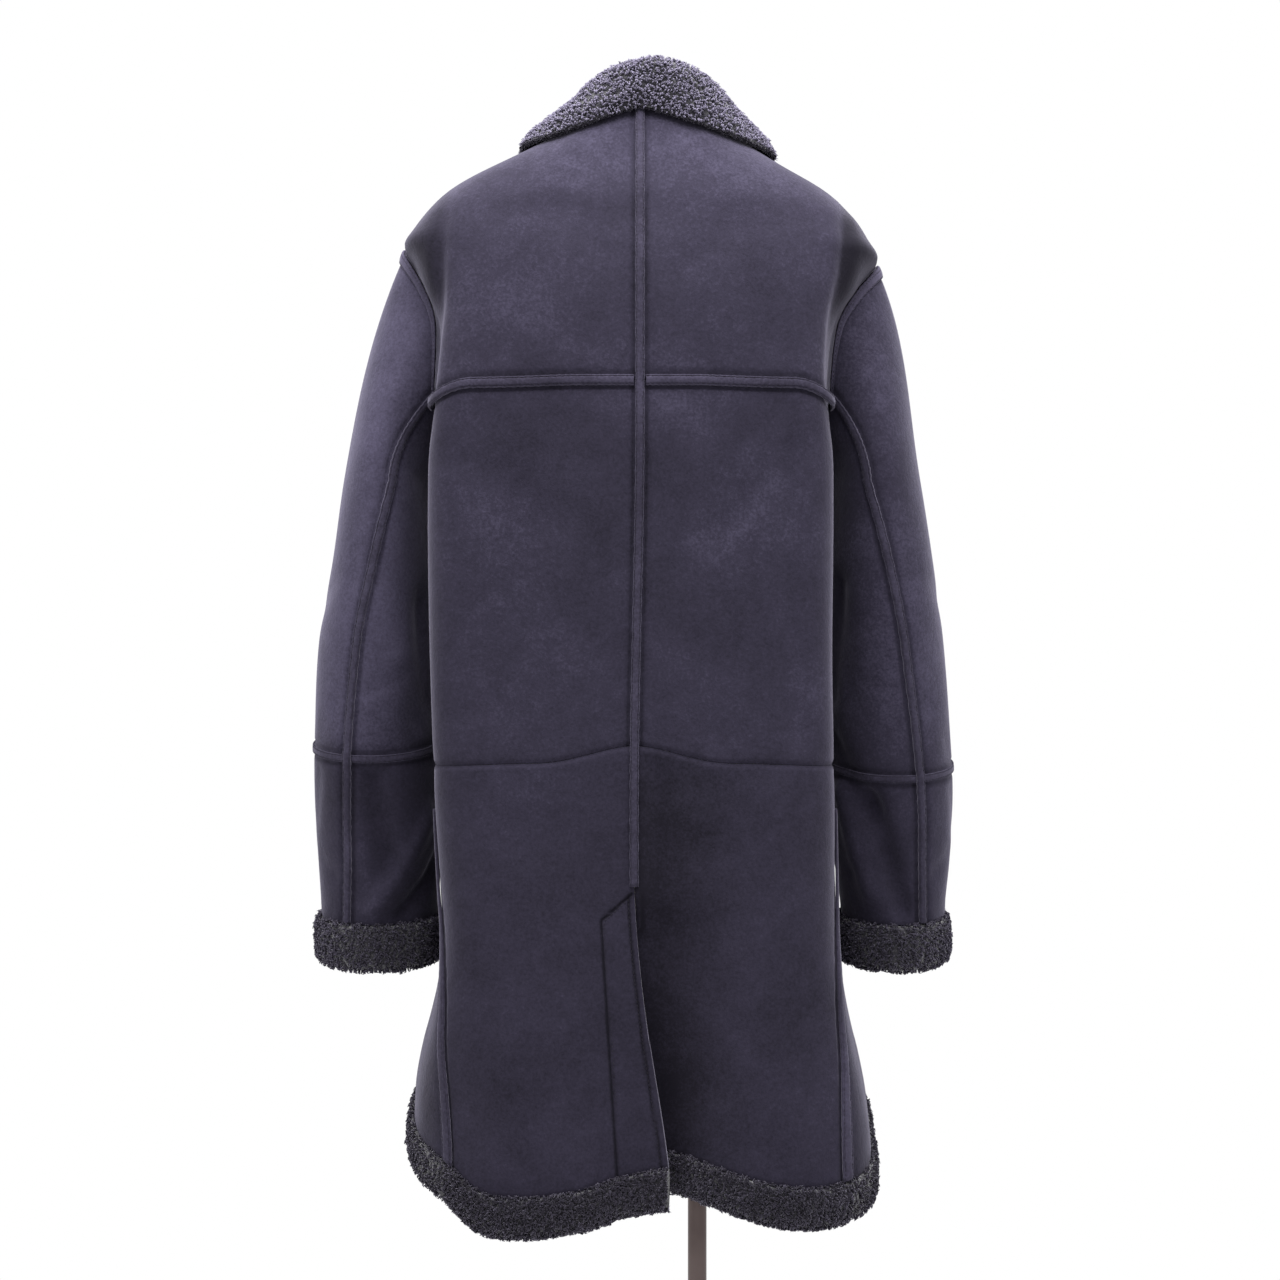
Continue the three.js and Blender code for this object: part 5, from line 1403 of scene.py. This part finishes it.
# painted light on the collar's curls, with a painted shade band along the collar's lower edge
collar_painted_light = 0.56 - 1.2 * smooth(14, 7, to_edge)
collar_felt = wall("felt_collar", collar_grid + collar_in * bare, collar_grid + collar_in * COLLAR_THICK, [FLEECE, SUEDE])
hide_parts("collar")
collar_wool = locks("wool_collar", collar_grid + collar_in * bare, -collar_in, 11, 12000, pale=collar_painted_light)
edge_rows = np.stack([collar_grid[:, -1] + collar_in[:, -1] * 3.2, collar_grid[:, -1] + collar_in[:, -1] * 6.5], 1)
edge_out = np.stack([unit(up_way[:, -1]) - 0.4 * collar_in[:, -1]] * 2, 1)
# painted shade on the curls round the collar's edge
collar_edge = locks("wool_collar_edge", edge_rows, unit(edge_out), 12, 1300, 3.0, pale=-0.5)

for k, side in enumerate(("left", "right")):
    z = lerp(1236, 1337, spaced(30, 101))[:, None]
    share = spaced(22, 60)[None]
    share = 0.02 + 0.98 * share
    spread = np.degrees(lapel_width(z) / np.hypot(BODY["front"](z), 40))
    angle = roll_angle(z) - spread * share
    lift = lerp(0.6, 1.6, share) + 0 * z
    z = z + 0 * angle
    top = off_body(side, angle, z, LAPEL_THICK - 1.6 + lift)
    lapel_felt = wall(f"felt_lapel_{side}", top, off_body(side, angle, z, lift), [FLEECE, SUEDE])
    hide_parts(f"lapel_{side}")
    normal = body_normal(side, angle, z)
    # painted light on the lapels' curls
    wool_piece = locks(f"wool_lapel_{side}", top, normal, 20 + k, 1400, pale=0.3)
    cloth(lapel_felt, top, rests_on=(f"front_{side}",), held="folded", trims=[wool_piece])

# Dress form, stand and buttons


def turned(name, outline, x, y, material_, node, count=96, slot="stand_metal"):
    """A turned piece: an outline of (radius, height) carried round an upright axis, shut at both ends."""
    outline = np.array(outline, float)
    a = np.linspace(0, 2 * np.pi, count + 1)[:-1]
    rings = np.stack(
        [x + outline[:, :1] * np.cos(a), y + outline[:, :1] * np.sin(a), outline[:, 1:] + 0 * a], -1
    )
    piece = tube(name, rings, [material_])
    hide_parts(node)
    return piece


def form_point(side, angle, z):
    """The form: a superellipse of power 2.3 that becomes, at the shoulders, the coat's own inner face."""
    a = np.radians(angle)
    depth = np.where(np.cos(a) > 0, FORM["back"](z), FORM["front"](z))
    n = 2.3
    reach = (np.abs(np.cos(a) / depth) ** n + np.abs(np.sin(a) / FORM["half_width"](z)) ** n) ** (-1 / n)
    plain = np.stack([SIGN[side] * reach * np.sin(a) + BODY["sway"](z), -reach * np.cos(a), z + 0 * a], -1)
    under = off_body(side, angle + 0 * z, np.minimum(z, NECK_Z - 2) + 0 * angle, -SKIN - FORM_GAP + 0 * a)
    return lerp(plain, under, smooth(1300, 1346, z)[..., None])


def dress_form():
    z = np.concatenate([np.linspace(722, 1300, 44), np.linspace(1308, 1410, 20)])[:, None]
    right = form_point("right", np.linspace(0, 177, 45)[None] + 0 * z, z + 0 * np.linspace(0, 177, 45)[None])
    left = form_point("left", np.linspace(180, 3, 45)[None] + 0 * z, z + 0 * np.linspace(180, 3, 45)[None])
    a = np.radians(np.linspace(0, 356, 90))
    necks = []
    for height, grow, slope in ((NECK_FLARE, 5, 14), (NECK_FLARE + 9, 1, 8), (1430, 0, 3), (NECK_TOP - 3, 0, 0), (NECK_TOP - 1, -1, 0), (NECK_TOP, -3, 0)):
        r = NECK_RADIUS + grow
        rise = slope * np.maximum(np.cos(a), 0) ** 2
        necks.append(np.stack([NECK_X + r * np.sin(a), NECK_Y - r * np.cos(a), height + rise], -1))
    return np.concatenate([np.concatenate([right, left], 1), np.stack(necks)])


form = tube("linen_dress_form", dress_form(), [linen()])
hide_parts("dress_form")
wood, metal = beech(), steel()
turned(
    "beech_neck_cap",
    [(0.5, 1452.3), (39, 1452.3), (40.6, 1453.4), (41, 1455), (40.6, 1456.6), (39, 1458), (24, 1459.4), (0.5, 1460)],
    NECK_X, NECK_Y, wood, "neck_cap", slot="cap_wood",
)
turned("steel_flange", [(0.5, 715.7), (31, 715.7), (31.8, 716.2), (32, 717), (32, 721.7), (0.5, 721.7)], POLE_X, 0, metal, "form_flange")
turned("steel_pole", [(0.5, 50.3), (8.4, 50.3), (8.5, 50.6), (8.5, 715.2), (8.4, 715.4), (0.5, 715.4)], POLE_X, 0, metal, "pole")
turned(
    "steel_base_plate",
    [
        (0.5, 0), (149, 0), (149.7, 0.3), (150, 1), (150, 6), (149.5, 7.3), (148, 8), (17, 8), (15.6, 8.6), (15, 10),
        (15, 48.6), (14.8, 49.6), (14, 50), (8.9, 50), (8.8, 49.6), (0.5, 49.6),
    ],
    POLE_X, 0, metal, "base_plate",
)
button_resin = resin()
for index, height in enumerate((1150, 1010, 870, 730)):
    # a dished disc with a raised rim, turned about the front's own normal, and a cross of thread on it
    outline = np.array([(0.3, 0.2), (11.4, 0), (12.4, 0.6), (12.5, 2.4), (12.1, 3.9), (11.2, 4.45), (10, 4.4), (9, 3.7), (8, 3.2), (0.3, 3.0)])
    a = np.linspace(0, 2 * np.pi, 65)[:-1]
    centre = off_body("left", np.array(180.0), np.array(float(height)), np.array(0.7))
    out = body_normal("left", np.array(180.0), np.array(float(height)))
    beside = unit(np.cross(out, [0, 0, 1.0]))
    upward = np.cross(beside, out)
    around = np.cos(a)[:, None] * beside + np.sin(a)[:, None] * upward
    rings = centre + outline[:, 0][:, None, None] * around + outline[:, 1][:, None, None] * out
    disc = tube(f"resin_button_{index + 1}", rings, [button_resin])
    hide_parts(f"button_{index + 1}")
    bars = []
    for way, cross in ((beside + upward, upward - beside), (upward - beside, beside + upward)):
        way, cross = unit(way), unit(cross)
        for shift in (-0.45, 0.45):
            line = np.linspace(-3.2, 3.2, 9)[:, None]
            arch = 3.3 + 0.9 * (1 - (line / 3.2) ** 2)
            middle = centre + way * line + cross * shift + out * arch
            turn = np.linspace(0, 2 * np.pi, 7)[:-1]
            bars.append(middle[:, None] + 0.42 * (np.cos(turn)[:, None] * cross + np.sin(turn)[:, None] * out))
    parts = []
    for ring in bars:
        i, j = np.meshgrid(np.arange(8), np.arange(6), indexing="ij")
        i, j = i.ravel() * 6, j.ravel()
        k = (j + 1) % 6
        parts.append((ring.reshape(-1, 3), np.stack([i + j, i + k, i + 6 + k, i + 6 + j], 1)))
    points, faces = joined(*parts)
    ties = put(f"button_thread_{index + 1}", points, [faces], [THREAD])

# Each cloth piece, with what it rests on and its trims, handed to cloth(), which only reads its trims
BAND_CARRIER = {"cuff_wool": "sleeve_top_lower", "hem_wool_back": "back_skirt", "hem_wool_front": "front"}
for side in ("left", "right"):
    trims = {
        f"back_yoke_{side}": [strips[side][0]] + ([strips["centre"]] if side == "left" else []),
        f"front_{side}": [strips[side][1]],
    }
    for name in (f"back_skirt_{side}", f"back_middle_{side}", f"back_yoke_{side}", f"front_{side}"):
        cloth(*panels[name], trims=trims.get(name, []))
    for name, (piece, plain) in sleeves.items():
        if not name.endswith(side):
            continue
        trim = {"top_upper": [2, 3, 4]}.get(name[7:].rsplit("_", 1)[0], [])
        cloth(piece, plain, rests_on=[f"back_yoke_{side}"], trims=[strips[side][i] for i in trim])
    for name, (felt, piles, rings) in bands.items():
        if name.endswith(side):
            half = np.concatenate([rings, rings[:, :1]], 1)[:, : rings.shape[1] // 2 + 1]
            carrier = BAND_CARRIER[name.removesuffix(f"_{side}")]
            cloth(felt, half, held="folded", rests_on=[f"{carrier}_{side}"], trims=[piles])
cloth(collar_felt, collar_grid, held="folded", rests_on=["back_yoke_left", "back_yoke_right"], trims=[collar_wool, collar_edge])
